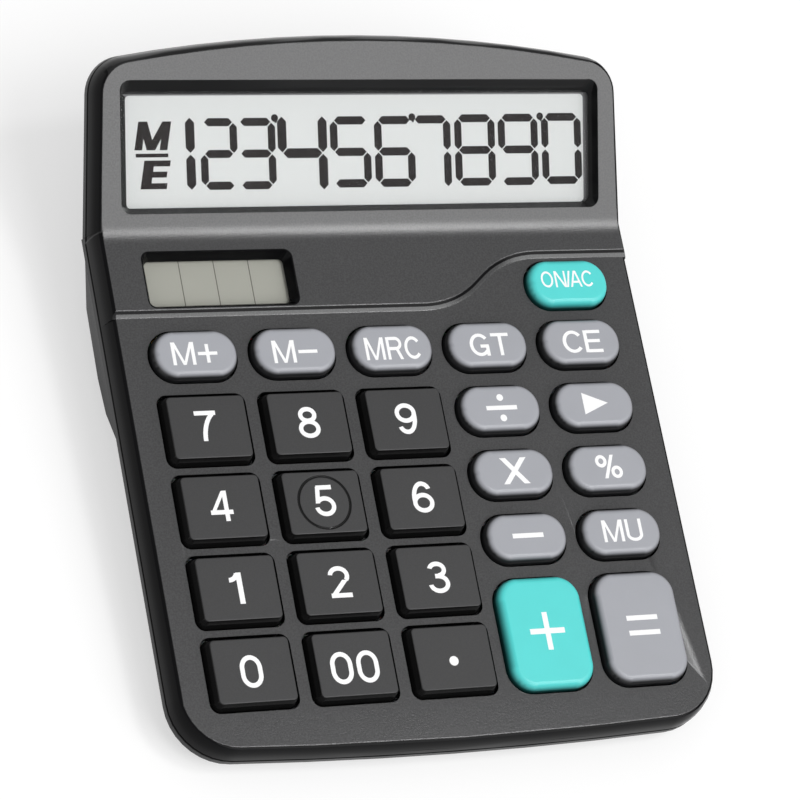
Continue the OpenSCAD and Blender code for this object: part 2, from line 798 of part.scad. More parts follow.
// film that joins the cell to the circuit board
module lcd_ribbon() {
    ledge_c = view_c - lcd_h / 2 + 0.9;
    film_z = lcd_low - seat;
    path = [panel_point(ledge_c, film_z), panel_point(1.4, film_z), [-14, board_top + 0.5],
        [-19.4, board_top + ribbon_t], [-21.6, board_top + ribbon_t]];
    low = [for (i = [len(path) - 1:-1:0]) path[i] - [0, ribbon_t]];
    color("orange") on_deck() translate([ribbon_x0, 0, 0]) rotate([90, 0, 90])
        linear_extrude(ribbon_w) polygon(concat(path, low));
}

// [y, z] on the deck of a point [c, z] on the panel
function panel_point(c, z) =
    [c * cos(panel_tilt) - z * sin(panel_tilt), step_h + c * sin(panel_tilt) + z * cos(panel_tilt)];

// ---- solar panel ----

lead_x = [solar_x + 5.5, solar_x + 7.1];

module solar_window() {
    color([0.75, 0.8, 0.8, 0.4]) on_deck() translate([solar_x, -solar_b, 0])
        rounded_plate(solar_w + 2, solar_d + 1, 0.9, solar_window_low, solar_floor - seat);
}

module solar_cell() {
    color([0.45, 0.42, 0.38]) on_deck() translate([solar_x, -solar_b, solar_cell_top - solar_cell_t / 2])
        cube([solar_w + 1, solar_d, solar_cell_t], center = true);
}

// a straight wire between two points
module wire(from, to, d) {
    v = to - from;
    translate(from) rotate([0, acos(v[2] / norm(v)), atan2(v[1], v[0])]) cylinder(d = d, h = norm(v));
}

module solar_leads() {
    wire_d = 0.8;
    cell_low = solar_cell_top - solar_cell_t;
    color("firebrick") on_deck() for (x = lead_x) {
        knee = [x, -solar_b - 2, cell_low - 1];
        foot = [x, -21.6, board_top + wire_d / 2];
        wire([x, -solar_b - 2, cell_low - seat], knee, wire_d);
        translate(knee) sphere(d = wire_d);
        wire(knee, foot, wire_d);
    }
}

// ---- keyboard and board ----

board_rear_b = 21;
board_wing_b = 18.6;
board_edge = 3.6;
// inner edges of the wings and of the arm
wing_x = between_keys - 2.55;
mat_arm_w = 14;
arm_x = 2 * col_pitch - mat_arm_w / 2 - 1.4;
arm_b = 6.6;
// where the pieces of the outline are cut off inside the full board
wing_cut_b = 40;

// the board's outline: the full deck, two short wings and an arm under the on key
module board_plan(inset) {
    intersection() {
        deck_plan(board_edge + inset);
        union() {
            translate([-body_w / 2, -deck_l]) square([body_w, deck_l - board_rear_b - inset]);
            for (x = [-body_w / 2, wing_x + inset]) translate([x, -wing_cut_b])
                square([body_w / 2 - wing_x - inset, wing_cut_b - board_wing_b - inset]);
            translate([arm_x + inset, -wing_cut_b])
                square([body_w / 2 - arm_x - inset, wing_cut_b - arm_b - inset]);
        }
    }
}

module circuit_board() {
    color("darkgreen") on_deck() translate([0, 0, board_low]) linear_extrude(board_t) difference() {
        board_plan(0);
        for (p = case_front) translate([p[0], -p[1]]) circle(d = case_boss_d + 0.8);
        for (p = board_spots) translate([p[0], -p[1]]) circle(d = board_screw_d + 2 * screw_gap);
    }
}

module dome_mat() {
    dome_top_d = 4.6;
    color([0.75, 0.75, 0.75]) on_deck() difference() {
        union() {
            translate([0, 0, board_top]) linear_extrude(mat_t) intersection() {
                board_plan(0.8);
                union() {
                    translate([-body_w / 2, -deck_l]) square([body_w, deck_l - 22.6]);
                    translate([2 * col_pitch - mat_arm_w / 2, -30]) square([mat_arm_w, 30 - arm_b - 1]);
                }
            }
            for (k = keys) translate([column_x(k[1]), -k[2], mat_top - eps])
                cylinder(d1 = dome_d, d2 = dome_top_d, h = dome_top - mat_top + eps);
        }
        for (k = keys) translate([column_x(k[1]), -k[2], board_top - eps])
            cylinder(d1 = dome_d - 0.8, d2 = dome_top_d - 1.4, h = dome_top - board_top - 1);
        for (p = case_front) translate([p[0], -p[1], board_top - eps])
            cylinder(d = case_boss_d + 0.8, h = mat_t + 1);
        for (p = board_spots) translate([p[0], -p[1], board_top - eps])
            cylinder(d = board_boss_d + 0.6, h = mat_t + 1);
    }
}

// a solid of the plan w by d whose side follows a profile of [inset, z] points, low to high
module rounded_block(w, d, r, profile) {
    last = len(profile) - 1;
    side = concat([[0, profile[0][1]]], [for (p = profile) [r - p[0], p[1]]], [[0, profile[last][1]]]);
    run_x = w - 2 * r;
    run_y = d - 2 * r;
    for (i = [0:3]) {
        sx = (i == 0 || i == 3) ? 1 : -1;
        sy = i < 2 ? 1 : -1;
        translate([sx * run_x / 2, sy * run_y / 2, 0]) rotate([0, 0, 90 * i])
            rotate_extrude(angle = 90) polygon(side);
    }
    for (s = [-1, 1]) {
        translate([s * run_x / 2, 0, 0]) mirror([s < 0 ? 1 : 0, 0, 0]) rotate([90, 0, 0])
            linear_extrude(run_y, center = true) polygon(side);
        translate([0, s * run_y / 2, 0]) rotate([0, 0, 90]) mirror([s < 0 ? 1 : 0, 0, 0]) rotate([90, 0, 0])
            linear_extrude(run_x, center = true) polygon(side);
    }
    translate([0, 0, (profile[0][1] + profile[last][1]) / 2])
        cube([run_x, run_y, profile[last][1] - profile[0][1]], center = true);
}

key_skin = 1.5;
key_stem_d = 3.6;
inner_corner_r = 0.6;

// a cap in a hole of w by d: the moulding, its two ledges, its hollow and its stem
module key_cap(w, d, r, rise, profile) {
    cap_w = w - 2 * key_gap;
    cap_d = d - 2 * key_gap;
    cap_r = r - key_gap;
    ledge_d = d * 0.45;
    difference() {
        union() {
            rounded_block(cap_w, cap_d, cap_r, profile);
            translate([-w / 2 - ledge_reach, -ledge_d / 2, ledge_low])
                cube([w + 2 * ledge_reach, ledge_d, ledge_t]);
        }
        difference() {
            rounded_plate(cap_w - 2 * key_skin, cap_d - 2 * key_skin, max(cap_r - key_skin, inner_corner_r),
                ledge_low - eps, rise - key_skin);
            translate([0, 0, ledge_low - 1]) cylinder(d = key_stem_d, h = rise - ledge_low);
        }
    }
}

number_draft = 0.8;
number_side_low = -0.6;
number_edge = 0.15;
number_profile = [[0, ledge_low], [0, number_side_low], [number_draft, number_rise - number_edge],
    [number_draft + number_edge, number_rise]];
pill_edge_w = 1.5;
pill_edge_z = 0.3;
pill_profile = concat([[0, ledge_low]], [for (i = [0:5]) let (a = 18 * i)
    [pill_edge_w * (1 - cos(a)), pill_edge_z + (pill_rise - pill_edge_z) * sin(a)]]);

module key(k) {
    color(k[4]) on_deck() translate([column_x(k[1]), -k[2], 0]) {
        if (k[3] == "oval") key_cap(oval_w, oval_d, oval_d / 2 - 0.2, pill_rise, pill_profile);
        if (k[3] == "tall") key_cap(tall_w, tall_d, tall_r, pill_rise, pill_profile);
        if (k[3] == "number") difference() {
            key_cap(number_w, number_d, number_r, number_rise, number_profile);
            if (k[0] == "key_5") ring_groove();
        }
    }
}

module ring_groove() {
    groove_w = 0.5;
    groove_depth = 0.25;
    translate([0, 0, number_rise - groove_depth]) difference() {
        cylinder(d = ring_d + groove_w, h = 1);
        translate([0, 0, -eps]) cylinder(d = ring_d - groove_w, h = 1 + 2 * eps);
    }
}

// chip and other parts hang from the board into the hump
module controller_chip() {
    chip_w = 11;
    chip_t = 1.2;
    color([0.08, 0.08, 0.08]) on_deck() translate([-8, -29, board_low - chip_t / 2])
        cube([chip_w, chip_w, chip_t - 2 * seat], center = true);
}

module board_parts() {
    capacitor_d = 5;
    capacitor_h = 3;
    crystal_l = 6;
    crystal_w = 2.4;
    crystal_t = 1.2;
    resistor_w = 1.3;
    resistor_l = 2;
    resistor_t = 0.7;
    crystal_b = 35;
    resistor_b = 37;
    on_deck() {
        color("navy") translate([12, -28, board_low - capacitor_h - seat])
            cylinder(d = capacitor_d, h = capacitor_h);
        color("silver") translate([4, -crystal_b, board_low - crystal_t - seat])
            rounded_plate(crystal_l, crystal_w, crystal_w / 2 - 0.1, 0, crystal_t);
        color("tan") for (i = [0:5])
            translate([-24 + 2 * i * resistor_w, -resistor_b, board_low - resistor_t / 2 - seat])
                cube([resistor_w, resistor_l, resistor_t], center = true);
    }
}

// ---- battery ----

module battery() {
    button_l = 0.8;
    color([0.3, 0.3, 0.32]) translate([battery_x - battery_l / 2, bay_y, battery_z]) rotate([0, 90, 0]) {
        cylinder(d = battery_d, h = battery_l - button_l);
        cylinder(d = 3.8, h = battery_l);
    }
}

module battery_door() {
    ridges = 5;
    color([0.13, 0.13, 0.14]) difference() {
        union() {
            translate([-door_w / 2, bay_y - door_d / 2, foot_stand]) cube([door_w, door_d, door_t]);
            translate([-door_w / 2 - door_tongue, bay_y - door_d / 2, foot_stand + door_tongue_z])
                cube([door_w + 2 * door_tongue, door_d, door_tongue_t]);
        }
        // grip grooves
        for (i = [0:ridges - 1]) translate([-8, bay_y - 4 + 2 * i, foot_stand - eps]) cube([16, 0.8, 0.35]);
    }
}

contact_d = 9;
strap_b = board_rear_b + 3.5;
board_under_z = desk_z(strap_b, board_low);

// contact plate against a bay wall with a strap that runs forward under the board
module contact_plate(x) {
    plate_top = board_under_z - contact_t - seat;
    translate([x, bay_y - contact_d / 2, foot_stand + door_t + 0.4])
        cube([contact_t, contact_d, plate_top - foot_stand - door_t]);
    translate([x, desk_y(strap_b, board_low), plate_top])
        cube([contact_t * 6, bay_y - desk_y(strap_b, board_low), contact_t]);
}

// the sprung contact: a leaf folded out of the plate towards the battery's flat end
module battery_spring() {
    x0 = -bay_x + slip;
    reach = battery_x - battery_l / 2 - cell_gap - x0;
    leaf_t = 0.4;
    color("silver") {
        contact_plate(x0);
        translate([x0, bay_y, 0]) rotate([90, 0, 0]) linear_extrude(5, center = true) polygon([
            [0, battery_z - 4], [reach - leaf_t, battery_z - 1], [reach - leaf_t, battery_z + 1],
            [contact_t, battery_z + 2.4], [contact_t, battery_z + 3], [reach, battery_z + 1.2],
            [reach, battery_z - 1.2], [contact_t, battery_z - 4.6], [0, battery_z - 4.6]]);
    }
}

module battery_contact() {
    x0 = battery_x + battery_l / 2 + cell_gap;
    color("silver") contact_plate(x0);
}

top_cover();
bottom_cover();
display_window();
lcd_glass();
lcd_reflector();
lcd_holder();
lcd_ribbon();
solar_window();
solar_cell();
solar_leads();
dome_mat();
circuit_board();
controller_chip();
board_parts();
battery();
battery_door();
battery_spring();
battery_contact();
case_screws();
board_screws();
rubber_feet();
for (k = keys) key(k);
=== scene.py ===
"""Finishes, prints and display for a desk calculator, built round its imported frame."""
import json
import math

import bpy
from bpy.props import FloatProperty, FloatVectorProperty, PointerProperty
from mathutils import Matrix, Vector

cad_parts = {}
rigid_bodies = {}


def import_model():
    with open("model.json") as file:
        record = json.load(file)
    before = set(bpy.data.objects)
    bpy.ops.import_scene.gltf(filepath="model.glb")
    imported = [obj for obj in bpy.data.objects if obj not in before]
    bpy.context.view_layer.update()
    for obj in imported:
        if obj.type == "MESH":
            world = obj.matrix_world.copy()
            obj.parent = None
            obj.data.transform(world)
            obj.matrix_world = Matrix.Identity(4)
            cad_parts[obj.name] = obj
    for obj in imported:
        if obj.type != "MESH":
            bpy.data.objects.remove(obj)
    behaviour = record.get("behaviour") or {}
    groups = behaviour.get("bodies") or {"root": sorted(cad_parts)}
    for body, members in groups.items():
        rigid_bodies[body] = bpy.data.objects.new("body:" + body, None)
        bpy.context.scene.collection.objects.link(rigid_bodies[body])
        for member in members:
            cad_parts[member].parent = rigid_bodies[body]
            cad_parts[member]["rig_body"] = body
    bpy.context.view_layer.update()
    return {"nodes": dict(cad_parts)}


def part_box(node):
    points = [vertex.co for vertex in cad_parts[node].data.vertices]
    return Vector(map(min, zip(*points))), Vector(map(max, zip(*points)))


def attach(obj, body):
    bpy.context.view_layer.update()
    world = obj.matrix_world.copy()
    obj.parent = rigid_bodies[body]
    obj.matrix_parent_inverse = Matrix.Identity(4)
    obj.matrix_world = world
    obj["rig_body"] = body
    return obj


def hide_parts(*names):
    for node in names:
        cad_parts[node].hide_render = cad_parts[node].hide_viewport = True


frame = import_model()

bl_info = {
    "name": "Desk Calculator",
    "version": (1, 0, 0),
    "blender": (4, 5, 0),
    "location": "3D View > Sidebar > Calculator",
    "description": "Dresses the frame of a desk calculator: covers, keys, prints, display and inner parts",
    "category": "Object",
}

MM = 0.001
DECK_TILT = math.radians(4.5)
PANEL_TILT = math.radians(24)
STEP_H = 0.8
CREASE = Vector((0, 36.3465, 19.1748)) * MM
DECK = Matrix.Translation(CREASE) @ Matrix.Rotation(DECK_TILT, 4, "X")
PANEL = DECK @ Matrix.Translation((0, 0, STEP_H * MM)) @ Matrix.Rotation(PANEL_TILT, 4, "X")
NUMBER_TOP = 2.2
PILL_TOP = 2.4
CELL_TOP = -3.35
PARTING = -5.0


# ---- sizes and colours ----


def colour(name, description, default):
    return FloatVectorProperty(name=name, description=description, default=default, subtype="COLOR",
                               size=4, min=0.0, max=1.0)


def length(name, description, default_mm):
    return FloatProperty(name=name, description=description, default=default_mm * MM, min=0.0,
                         subtype="DISTANCE", unit="LENGTH")


class CoverLooks(bpy.types.PropertyGroup):
    face: colour("Face", "Matte colour of the keypad face and the display panel", (0.05, 0.05, 0.0515, 1))
    side: colour("Side", "Colour of the glossy rounded sides", (0.005, 0.005, 0.0055, 1))
    base: colour("Base", "Colour of the bottom cover", (0.015, 0.015, 0.0165, 1))
    soft_edge: length("Soft edge", "Width of the softened edges of the mouldings", 0.2)


class KeyLooks(bpy.types.PropertyGroup):
    number: colour("Number keys", "Colour of the flat tops of the number keys", (0.026, 0.026, 0.027, 1))
    grey: colour("Grey keys", "Colour of the function keys", (0.365, 0.373, 0.405, 1))
    accent: colour("Accent keys", "Colour of the on key and the plus key", (0.085, 0.69, 0.665, 1))
    print_colour: colour("Print", "Colour of the legends", (0.96, 0.96, 0.96, 1))
    print_height: length("Print height", "How far the printed legends stand above the keys", 0.025)


class DisplayLooks(bpy.types.PropertyGroup):
    cell: colour("Cell", "Colour of the display where nothing is shown", (0.78, 0.80, 0.793, 1))
    segment: colour("Segments", "Colour of the digits", (0.016, 0.012, 0.012, 1))
    segment_height: length("Segment height", "Thickness of the shown digits", 0.025)


class StageLooks(bpy.types.PropertyGroup):
    floor: colour("Floor", "Colour of the floor", (0.48, 0.48, 0.48, 1))
    lens: FloatProperty(name="Lens", description="Focal length of the camera", default=197.56 * MM,
                        unit="CAMERA")
    key_power: FloatProperty(name="Key light", description="Strength of the soft light from the front",
                             default=1.35)
    fill_power: FloatProperty(name="Fill light", description="Strength of the soft light from the left",
                              default=0.25)
    crease_power: FloatProperty(name="Crease light",
                                description="Strength of the light that the crease catches", default=0.5)
    room_light: FloatProperty(name="Room light", description="Strength of the light from all round",
                              default=0.5)
    floor_glow: FloatProperty(name="Floor glow", description="Whitens the floor where it is seen", default=0.54)


# ---- shader maths ----


class Wire:
    """The output of a shader node, so that values are worked out with plain arithmetic."""

    def __init__(self, bench, socket):
        self.bench = bench
        self.socket = socket

    def _maths(self, operation, first, second):
        return self.bench.node("ShaderNodeMath", {"operation": operation}, {0: first, 1: second})

    def __add__(self, other):
        return self._maths("ADD", self, other)

    __radd__ = __add__

    def __sub__(self, other):
        return self._maths("SUBTRACT", self, other)

    def __rsub__(self, other):
        return self._maths("SUBTRACT", other, self)

    def __mul__(self, other):
        return self._maths("MULTIPLY", self, other)

    __rmul__ = __mul__

    def __mod__(self, other):
        return self._maths("FLOORED_MODULO", self, other)

    def __abs__(self):
        return self._maths("ABSOLUTE", self, 0.0)

    def __or__(self, other):
        return self._maths("MAXIMUM", self, other)


class Finish:
    """One procedural material, built node by node."""

    def __init__(self, name):
        self.material = bpy.data.materials.new(name)
        self.material.use_nodes = True
        self.tree = self.material.node_tree
        self.tree.nodes.clear()

    def node(self, kind, settings=None, values=None, out=0):
        node = self.tree.nodes.new(kind)
        for key, value in (settings or {}).items():
            setattr(node, key, value)
        for key, value in (values or {}).items():
            if isinstance(value, Wire):
                self.tree.links.new(value.socket, node.inputs[key])
            else:
                node.inputs[key].default_value = value
        return Wire(self, node.outputs[out]) if len(node.outputs) else None

    def object_point(self):
        return self.node("ShaderNodeTexCoord", out="Object")

    def in_deck(self):
        """Millimetres in the deck's frame: across, towards the display, up from the keypad face."""
        return self.node("ShaderNodeMapping", {"vector_type": "TEXTURE"}, {
            "Vector": self.object_point(), "Location": CREASE, "Rotation": (DECK_TILT, 0, 0),
            "Scale": (MM, MM, MM)})

    def in_panel(self):
        """Millimetres in the display panel's frame."""
        return self.node("ShaderNodeMapping", {"vector_type": "TEXTURE"}, {
            "Vector": self.object_point(), "Location": PANEL.to_translation(),
            "Rotation": (DECK_TILT + PANEL_TILT, 0, 0), "Scale": (MM, MM, MM)})

    def split(self, vector):
        node = self.node("ShaderNodeSeparateXYZ", {}, {0: vector}).socket.node
        return [Wire(self, socket) for socket in node.outputs]

    def ramp(self, value, low, high):
        """0 below low, 1 above high, smooth between."""
        return self.node("ShaderNodeMapRange", {"interpolation_type": "SMOOTHSTEP"},
                         {"Value": value, "From Min": low, "From Max": high})

    def noise(self, size, detail=2.0):
        """Noise from 0 to 1 with features of the given size in metres."""
        return self.node("ShaderNodeTexNoise", {}, {
            "Vector": self.object_point(), "Scale": 1.0 / size, "Detail": detail})

    def blend(self, factor, low, high):
        """One colour going over into another."""
        return self.node("ShaderNodeMix", {"data_type": "RGBA"}, {0: factor, 6: low, 7: high}, out=2)

    def tint(self, base, factor, spread):
        """A colour that varies a little, darker where the factor is low and lighter where it is high."""
        low = tuple(c * (1 - spread) for c in base[:3]) + (1,)
        high = tuple(min(c * (1 + spread), 1) for c in base[:3]) + (1,)
        return self.blend(factor, low, high)

    def bump(self, height, depth, strength=1.0):
        return self.node("ShaderNodeBump", {}, {"Height": height, "Distance": depth, "Strength": strength})

    def shader(self, **values):
        names = {name.replace(" ", "_").lower(): name for name in (
            "Base Color", "Roughness", "Metallic", "Alpha", "Normal", "Specular IOR Level", "Subsurface Weight",
            "Subsurface Scale")}
        return self.node("ShaderNodeBsdfPrincipled", {}, {names[key]: value for key, value in values.items()})

    def output(self, shader):
        self.node("ShaderNodeOutputMaterial", {}, {"Surface": shader})
        return self.material

    def surface(self, **values):
        return self.output(self.shader(**values))

    def mixed(self, factor, first, second):
        """The first shader where the factor is 0, the second where it is 1."""
        return self.output(self.node("ShaderNodeMixShader", {}, {0: factor, 1: first, 2: second}))


def wear(piece, material):
    """Gives a piece one material."""
    piece.data.materials.clear()
    piece.data.materials.append(material)
    return piece


# ---- modelling helpers ----


def only(*pieces):
    """Selects these pieces and nothing else."""
    bpy.ops.object.select_all(action="DESELECT")
    for piece in pieces:
        piece.select_set(True)
    bpy.context.view_layer.objects.active = pieces[0]


def settle(piece, place):
    """Moves a piece to its place and puts that into its mesh, so that its object stands at the origin."""
    piece.matrix_world = place @ piece.matrix_world
    bpy.context.view_layer.update()
    only(piece)
    bpy.ops.object.transform_apply(location=True, rotation=True, scale=True)
    return piece


def join(pieces, name):
    only(*pieces)
    if len(pieces) > 1:
        bpy.ops.object.join()
    whole = bpy.context.active_object
    whole.name = whole.data.name = name
    return whole


WELD = 2e-6  # points closer than this become one
SLIVER = 5e-6  # edges shorter than this are dissolved
FLAT = math.radians(0.6)  # faces that meet at less than this become one
LARGE_FACE_WEIGHT = 100  # how far the large faces set the normals at their borders; 50 is an even share


def dressed(node, soft_edge, crease=32):
    """A merged copy of a CAD node with softened edges, shown in the node's place."""
    only(frame["nodes"][node])
    bpy.ops.object.duplicate()
    piece = bpy.context.active_object
    piece.name = piece.data.name = node + "_moulding"
    for key in [key for key in piece.keys() if key.startswith("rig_")]:
        del piece[key]
    bpy.ops.object.mode_set(mode="EDIT")
    bpy.ops.mesh.select_all(action="SELECT")
    bpy.ops.mesh.remove_doubles(threshold=WELD)
    # known fault: on the top cover this step leaves a light wedge in the shading beside the equals key
    bpy.ops.mesh.dissolve_degenerate(threshold=SLIVER)
    bpy.ops.mesh.dissolve_limited(angle_limit=FLAT)
    bpy.ops.object.mode_set(mode="OBJECT")
    if soft_edge > 0:
        bpy.ops.object.modifier_add(type="BEVEL")
        bevel = piece.modifiers[-1]
        bevel.limit_method = "ANGLE"
        bevel.angle_limit = math.radians(crease)
        bevel.width = soft_edge
        bevel.segments = 2
        bevel.use_clamp_overlap = True
        bpy.ops.object.modifier_apply(modifier=bevel.name)
    bpy.ops.object.shade_smooth_by_angle(angle=math.radians(crease))
    # keeps the large faces' shading flat up to their softened edges, where the mesh allows it
    bpy.ops.object.modifier_add(type="WEIGHTED_NORMAL")
    piece.modifiers[-1].weight = LARGE_FACE_WEIGHT
    bpy.ops.object.modifier_apply(modifier=piece.modifiers[-1].name)
    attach(piece, frame["nodes"][node]["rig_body"])
    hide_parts(node)
    return piece


def choose(piece, test, kind="VERT"):
    """Goes to edit mode with only those points, or with kind EDGE those edges, that pass a test."""
    bpy.ops.object.mode_set(mode="EDIT")
    bpy.ops.mesh.select_mode(type=kind)
    bpy.ops.mesh.select_all(action="DESELECT")
    bpy.ops.object.mode_set(mode="OBJECT")
    points = piece.data.vertices
    if kind == "EDGE":
        for edge in piece.data.edges:
            edge.select = test(*(points[i].co for i in edge.vertices))
    else:
        for point in points:
            point.select = test(point.co)
    bpy.ops.object.mode_set(mode="EDIT")


# ---- strokes of the prints and of the display ----


def block(x0, x1, y0, y1, height, tip=0.0, lean=0.0):
    """A flat bar between these edges. tip cuts its four corners, lean moves its far side along x."""
    bpy.ops.object.select_all(action="DESELECT")
    bpy.ops.mesh.primitive_cube_add(size=1)
    piece = bpy.context.active_object
    bpy.ops.object.mode_set(mode="EDIT")
    bpy.ops.mesh.select_all(action="SELECT")
    bpy.ops.transform.resize(value=(x1 - x0, y1 - y0, height), center_override=(0, 0, 0))
    bpy.ops.transform.translate(value=((x0 + x1) / 2, (y0 + y1) / 2, height / 2))
    if lean:
        choose(piece, lambda p: p.y > (y0 + y1) / 2)
        bpy.ops.transform.translate(value=(lean, 0, 0))
    if tip:
        choose(piece, lambda a, b: abs(a.z - b.z) > height / 2, "EDGE")
        bpy.ops.mesh.bevel(offset=tip, segments=1, affect="EDGES")
    bpy.ops.object.mode_set(mode="OBJECT")
    return piece


def bow(x, y, radius_x, radius_y, start, end, weight, height):
    """A curved bar round x, y, from the start angle to the end angle in degrees, anticlockwise."""
    bpy.ops.object.select_all(action="DESELECT")
    bpy.ops.mesh.primitive_circle_add(vertices=48, radius=1)
    piece = bpy.context.active_object
    choose(piece, lambda p: (math.degrees(math.atan2(p.y, p.x)) - start + 1) % 360 > end - start + 2)
    if end - start < 360:
        bpy.ops.mesh.delete(type="VERT")
    bpy.ops.mesh.select_all(action="SELECT")
    inner = (radius_x - weight / 2, radius_y - weight / 2, 1)
    growth = (1 + weight / inner[0], 1 + weight / inner[1], 1)
    bpy.ops.transform.resize(value=inner, center_override=(0, 0, 0))
    bpy.ops.mesh.extrude_region_move()
    bpy.ops.transform.resize(value=growth, center_override=(0, 0, 0))
    raise_up(height)
    bpy.ops.transform.translate(value=(x, y, 0))
    bpy.ops.object.mode_set(mode="OBJECT")
    return piece


def dot(x, y, radius, height):
    """A round dot with a softened rim."""
    bpy.ops.object.select_all(action="DESELECT")
    bpy.ops.mesh.primitive_circle_add(vertices=32, radius=radius, fill_type="NGON")
    piece = bpy.context.active_object
    bpy.ops.object.mode_set(mode="EDIT")
    bpy.ops.mesh.select_all(action="SELECT")
    raise_up(height)
    bpy.ops.transform.translate(value=(x, y, 0))
    choose(piece, lambda a, b: min(a.z, b.z) > height / 2, "EDGE")
    bpy.ops.mesh.bevel(offset=height * 0.3, segments=1, affect="EDGES")
    bpy.ops.object.mode_set(mode="OBJECT")
    return piece


def arrow(x0, x1, y0, y1, height):
    """A flat arrow head that points along x."""
    piece = block(x0, x1, y0, y1, height)
    choose(piece, lambda p: p.x > (x0 + x1) / 2)
    bpy.ops.transform.resize(value=(1, 0, 1), center_override=(0, (y0 + y1) / 2, 0))
    bpy.ops.mesh.select_all(action="SELECT")
    bpy.ops.mesh.remove_doubles(threshold=height * 0.01)
    bpy.ops.object.mode_set(mode="OBJECT")
    return piece


def raise_up(height):
    """Gives the whole flat mesh in edit mode its thickness."""
    bpy.ops.mesh.select_all(action="SELECT")
    bpy.ops.mesh.extrude_region_move(TRANSFORM_OT_translate={"value": (0, 0, height)})
    bpy.ops.mesh.select_all(action="SELECT")
    bpy.ops.mesh.normals_make_consistent(inside=False)


SIGN_HEIGHT = 0.1
STROKE_RISE = 0.08  # how much higher each further stroke is, against the first
THIN = 0.8  # width of a thin slant, against a slant


def drawn(strokes, weight):
    """One sign drawn from its strokes, each a little higher than the one before, so that none is lost."""
    pieces = []
    half = weight / 2
    for kind, *n in strokes:
        height = SIGN_HEIGHT * (1 + STROKE_RISE * len(pieces))
        if kind == "up":
            piece = block(n[0] - half, n[0] + half, n[1], n[2], height)
        elif kind == "across":
            piece = block(n[1], n[2], n[0] - half, n[0] + half, height)
        elif kind in ("slant", "thin"):
            x0, y0, x1, y1 = n
            half_cut = half * math.hypot(1, (x1 - x0) / (y1 - y0)) * (THIN if kind == "thin" else 1)
            piece = block(x0 - half_cut, x0 + half_cut, y0, y1, height, lean=x1 - x0)
        elif kind == "bow":
            piece = bow(*n, weight, height)
        else:
            piece = {"dot": dot, "arrow": arrow}[kind](*n, height)
        pieces.append(piece)
    return join(pieces, "sign")


# plain lettering: each sign's strokes, by their middle lines, with capitals 1 high
# up: x, low, high; across: y, left, right; slant and thin: x and y of the foot, x and y of the head;
# bow: x, y, radius along x, radius along y, start and end angle
SIGNS = {
    "0": [("bow", 0.35, 0.61, 0.285, 0.325, 0, 180), ("bow", 0.35, 0.39, 0.285, 0.325, 180, 360),
          ("up", 0.065, 0.38, 0.62), ("up", 0.635, 0.38, 0.62)],
    "1": [("up", 0.3, 0, 1), ("bow", 0.02, 1.01, 0.24, 0.24, 270, 352.5)],
    "2": [("bow", 0.345, 0.7, 0.28, 0.235, -37.5, 172.5), ("slant", 0.12, 0.11, 0.535, 0.56),
          ("across", 0.065, 0, 0.7)],
    "3": [("bow", 0.34, 0.745, 0.24, 0.19, -82.5, 165), ("bow", 0.345, 0.3, 0.285, 0.235, -172.5, 82.5),
          ("across", 0.542, 0.25, 0.4)],
    "4": [("up", 0.53, 0, 1), ("across", 0.295, 0, 0.74), ("thin", 0.08, 0.29, 0.5, 0.99)],
    "5": [("across", 0.935, 0.13, 0.64), ("slant", 0.11, 0.42, 0.18, 0.97),
          ("bow", 0.345, 0.32, 0.285, 0.255, -172.5, 142.5)],
    "6": [("bow", 0.35, 0.315, 0.285, 0.25, 0, 360), ("bow", 0.36, 0.7, 0.235, 0.235, 15, 90),
          ("bow", 0.36, 0.44, 0.295, 0.495, 90, 195)],
    "7": [("across", 0.935, 0, 0.7), ("bow", 0.94, 0, 0.69, 1.05, 120, 180)],
    "8": [("bow", 0.355, 0.745, 0.235, 0.19, 0, 360), ("bow", 0.355, 0.295, 0.29, 0.23, 0, 360)],
    "9": [("bow", 0.35, 0.685, 0.285, 0.25, 0, 360), ("bow", 0.34, 0.3, 0.235, 0.235, 195, 270),
          ("bow", 0.34, 0.56, 0.295, 0.495, 270, 375)],
    "A": [("slant", 0.075, 0, 0.4, 1), ("slant", 0.765, 0, 0.44, 1), ("across", 0.31, 0.2, 0.64)],
    "C": [("bow", 0.42, 0.5, 0.355, 0.435, 37.5, 322.5)],
    "E": [("up", 0.065, 0, 1), ("across", 0.935, 0.1, 0.69), ("across", 0.52, 0.1, 0.64),
          ("across", 0.065, 0.1, 0.71)],
    "G": [("bow", 0.42, 0.5, 0.355, 0.435, 37.5, 322.5), ("across", 0.44, 0.44, 0.8), ("up", 0.735, 0, 0.45)],
    "M": [("up", 0.065, 0, 1), ("up", 0.895, 0, 1), ("thin", 0.48, 0, 0.1, 1), ("thin", 0.48, 0, 0.86, 1)],
    "N": [("up", 0.065, 0, 1), ("up", 0.71, 0, 1), ("slant", 0.69, 0, 0.09, 1)],
    "O": [("bow", 0.42, 0.5, 0.355, 0.435, 0, 360)],
    "R": [("up", 0.065, 0, 1), ("across", 0.935, 0.1, 0.47), ("across", 0.485, 0.1, 0.47),
          ("bow", 0.47, 0.71, 0.23, 0.225, -90, 90), ("slant", 0.69, 0, 0.5, 0.47)],
    "T": [("across", 0.935, 0, 0.76), ("up", 0.38, 0, 0.9)],
    "U": [("up", 0.065, 0.29, 1), ("up", 0.695, 0.29, 1), ("bow", 0.38, 0.3, 0.315, 0.235, 180, 360)],
    "/": [("slant", 0.05, 0, 0.3, 1)],
    "%": [("bow", 0.25, 0.74, 0.185, 0.195, 0, 360), ("bow", 0.89, 0.26, 0.185, 0.195, 0, 360),
          ("slant", 0.37, 0, 0.77, 1)],
    "+": [("across", 0.48, 0, 0.83), ("up", 0.415, 0.07, 0.89)],
    "-": [("across", 0.48, 0, 0.83)],
}


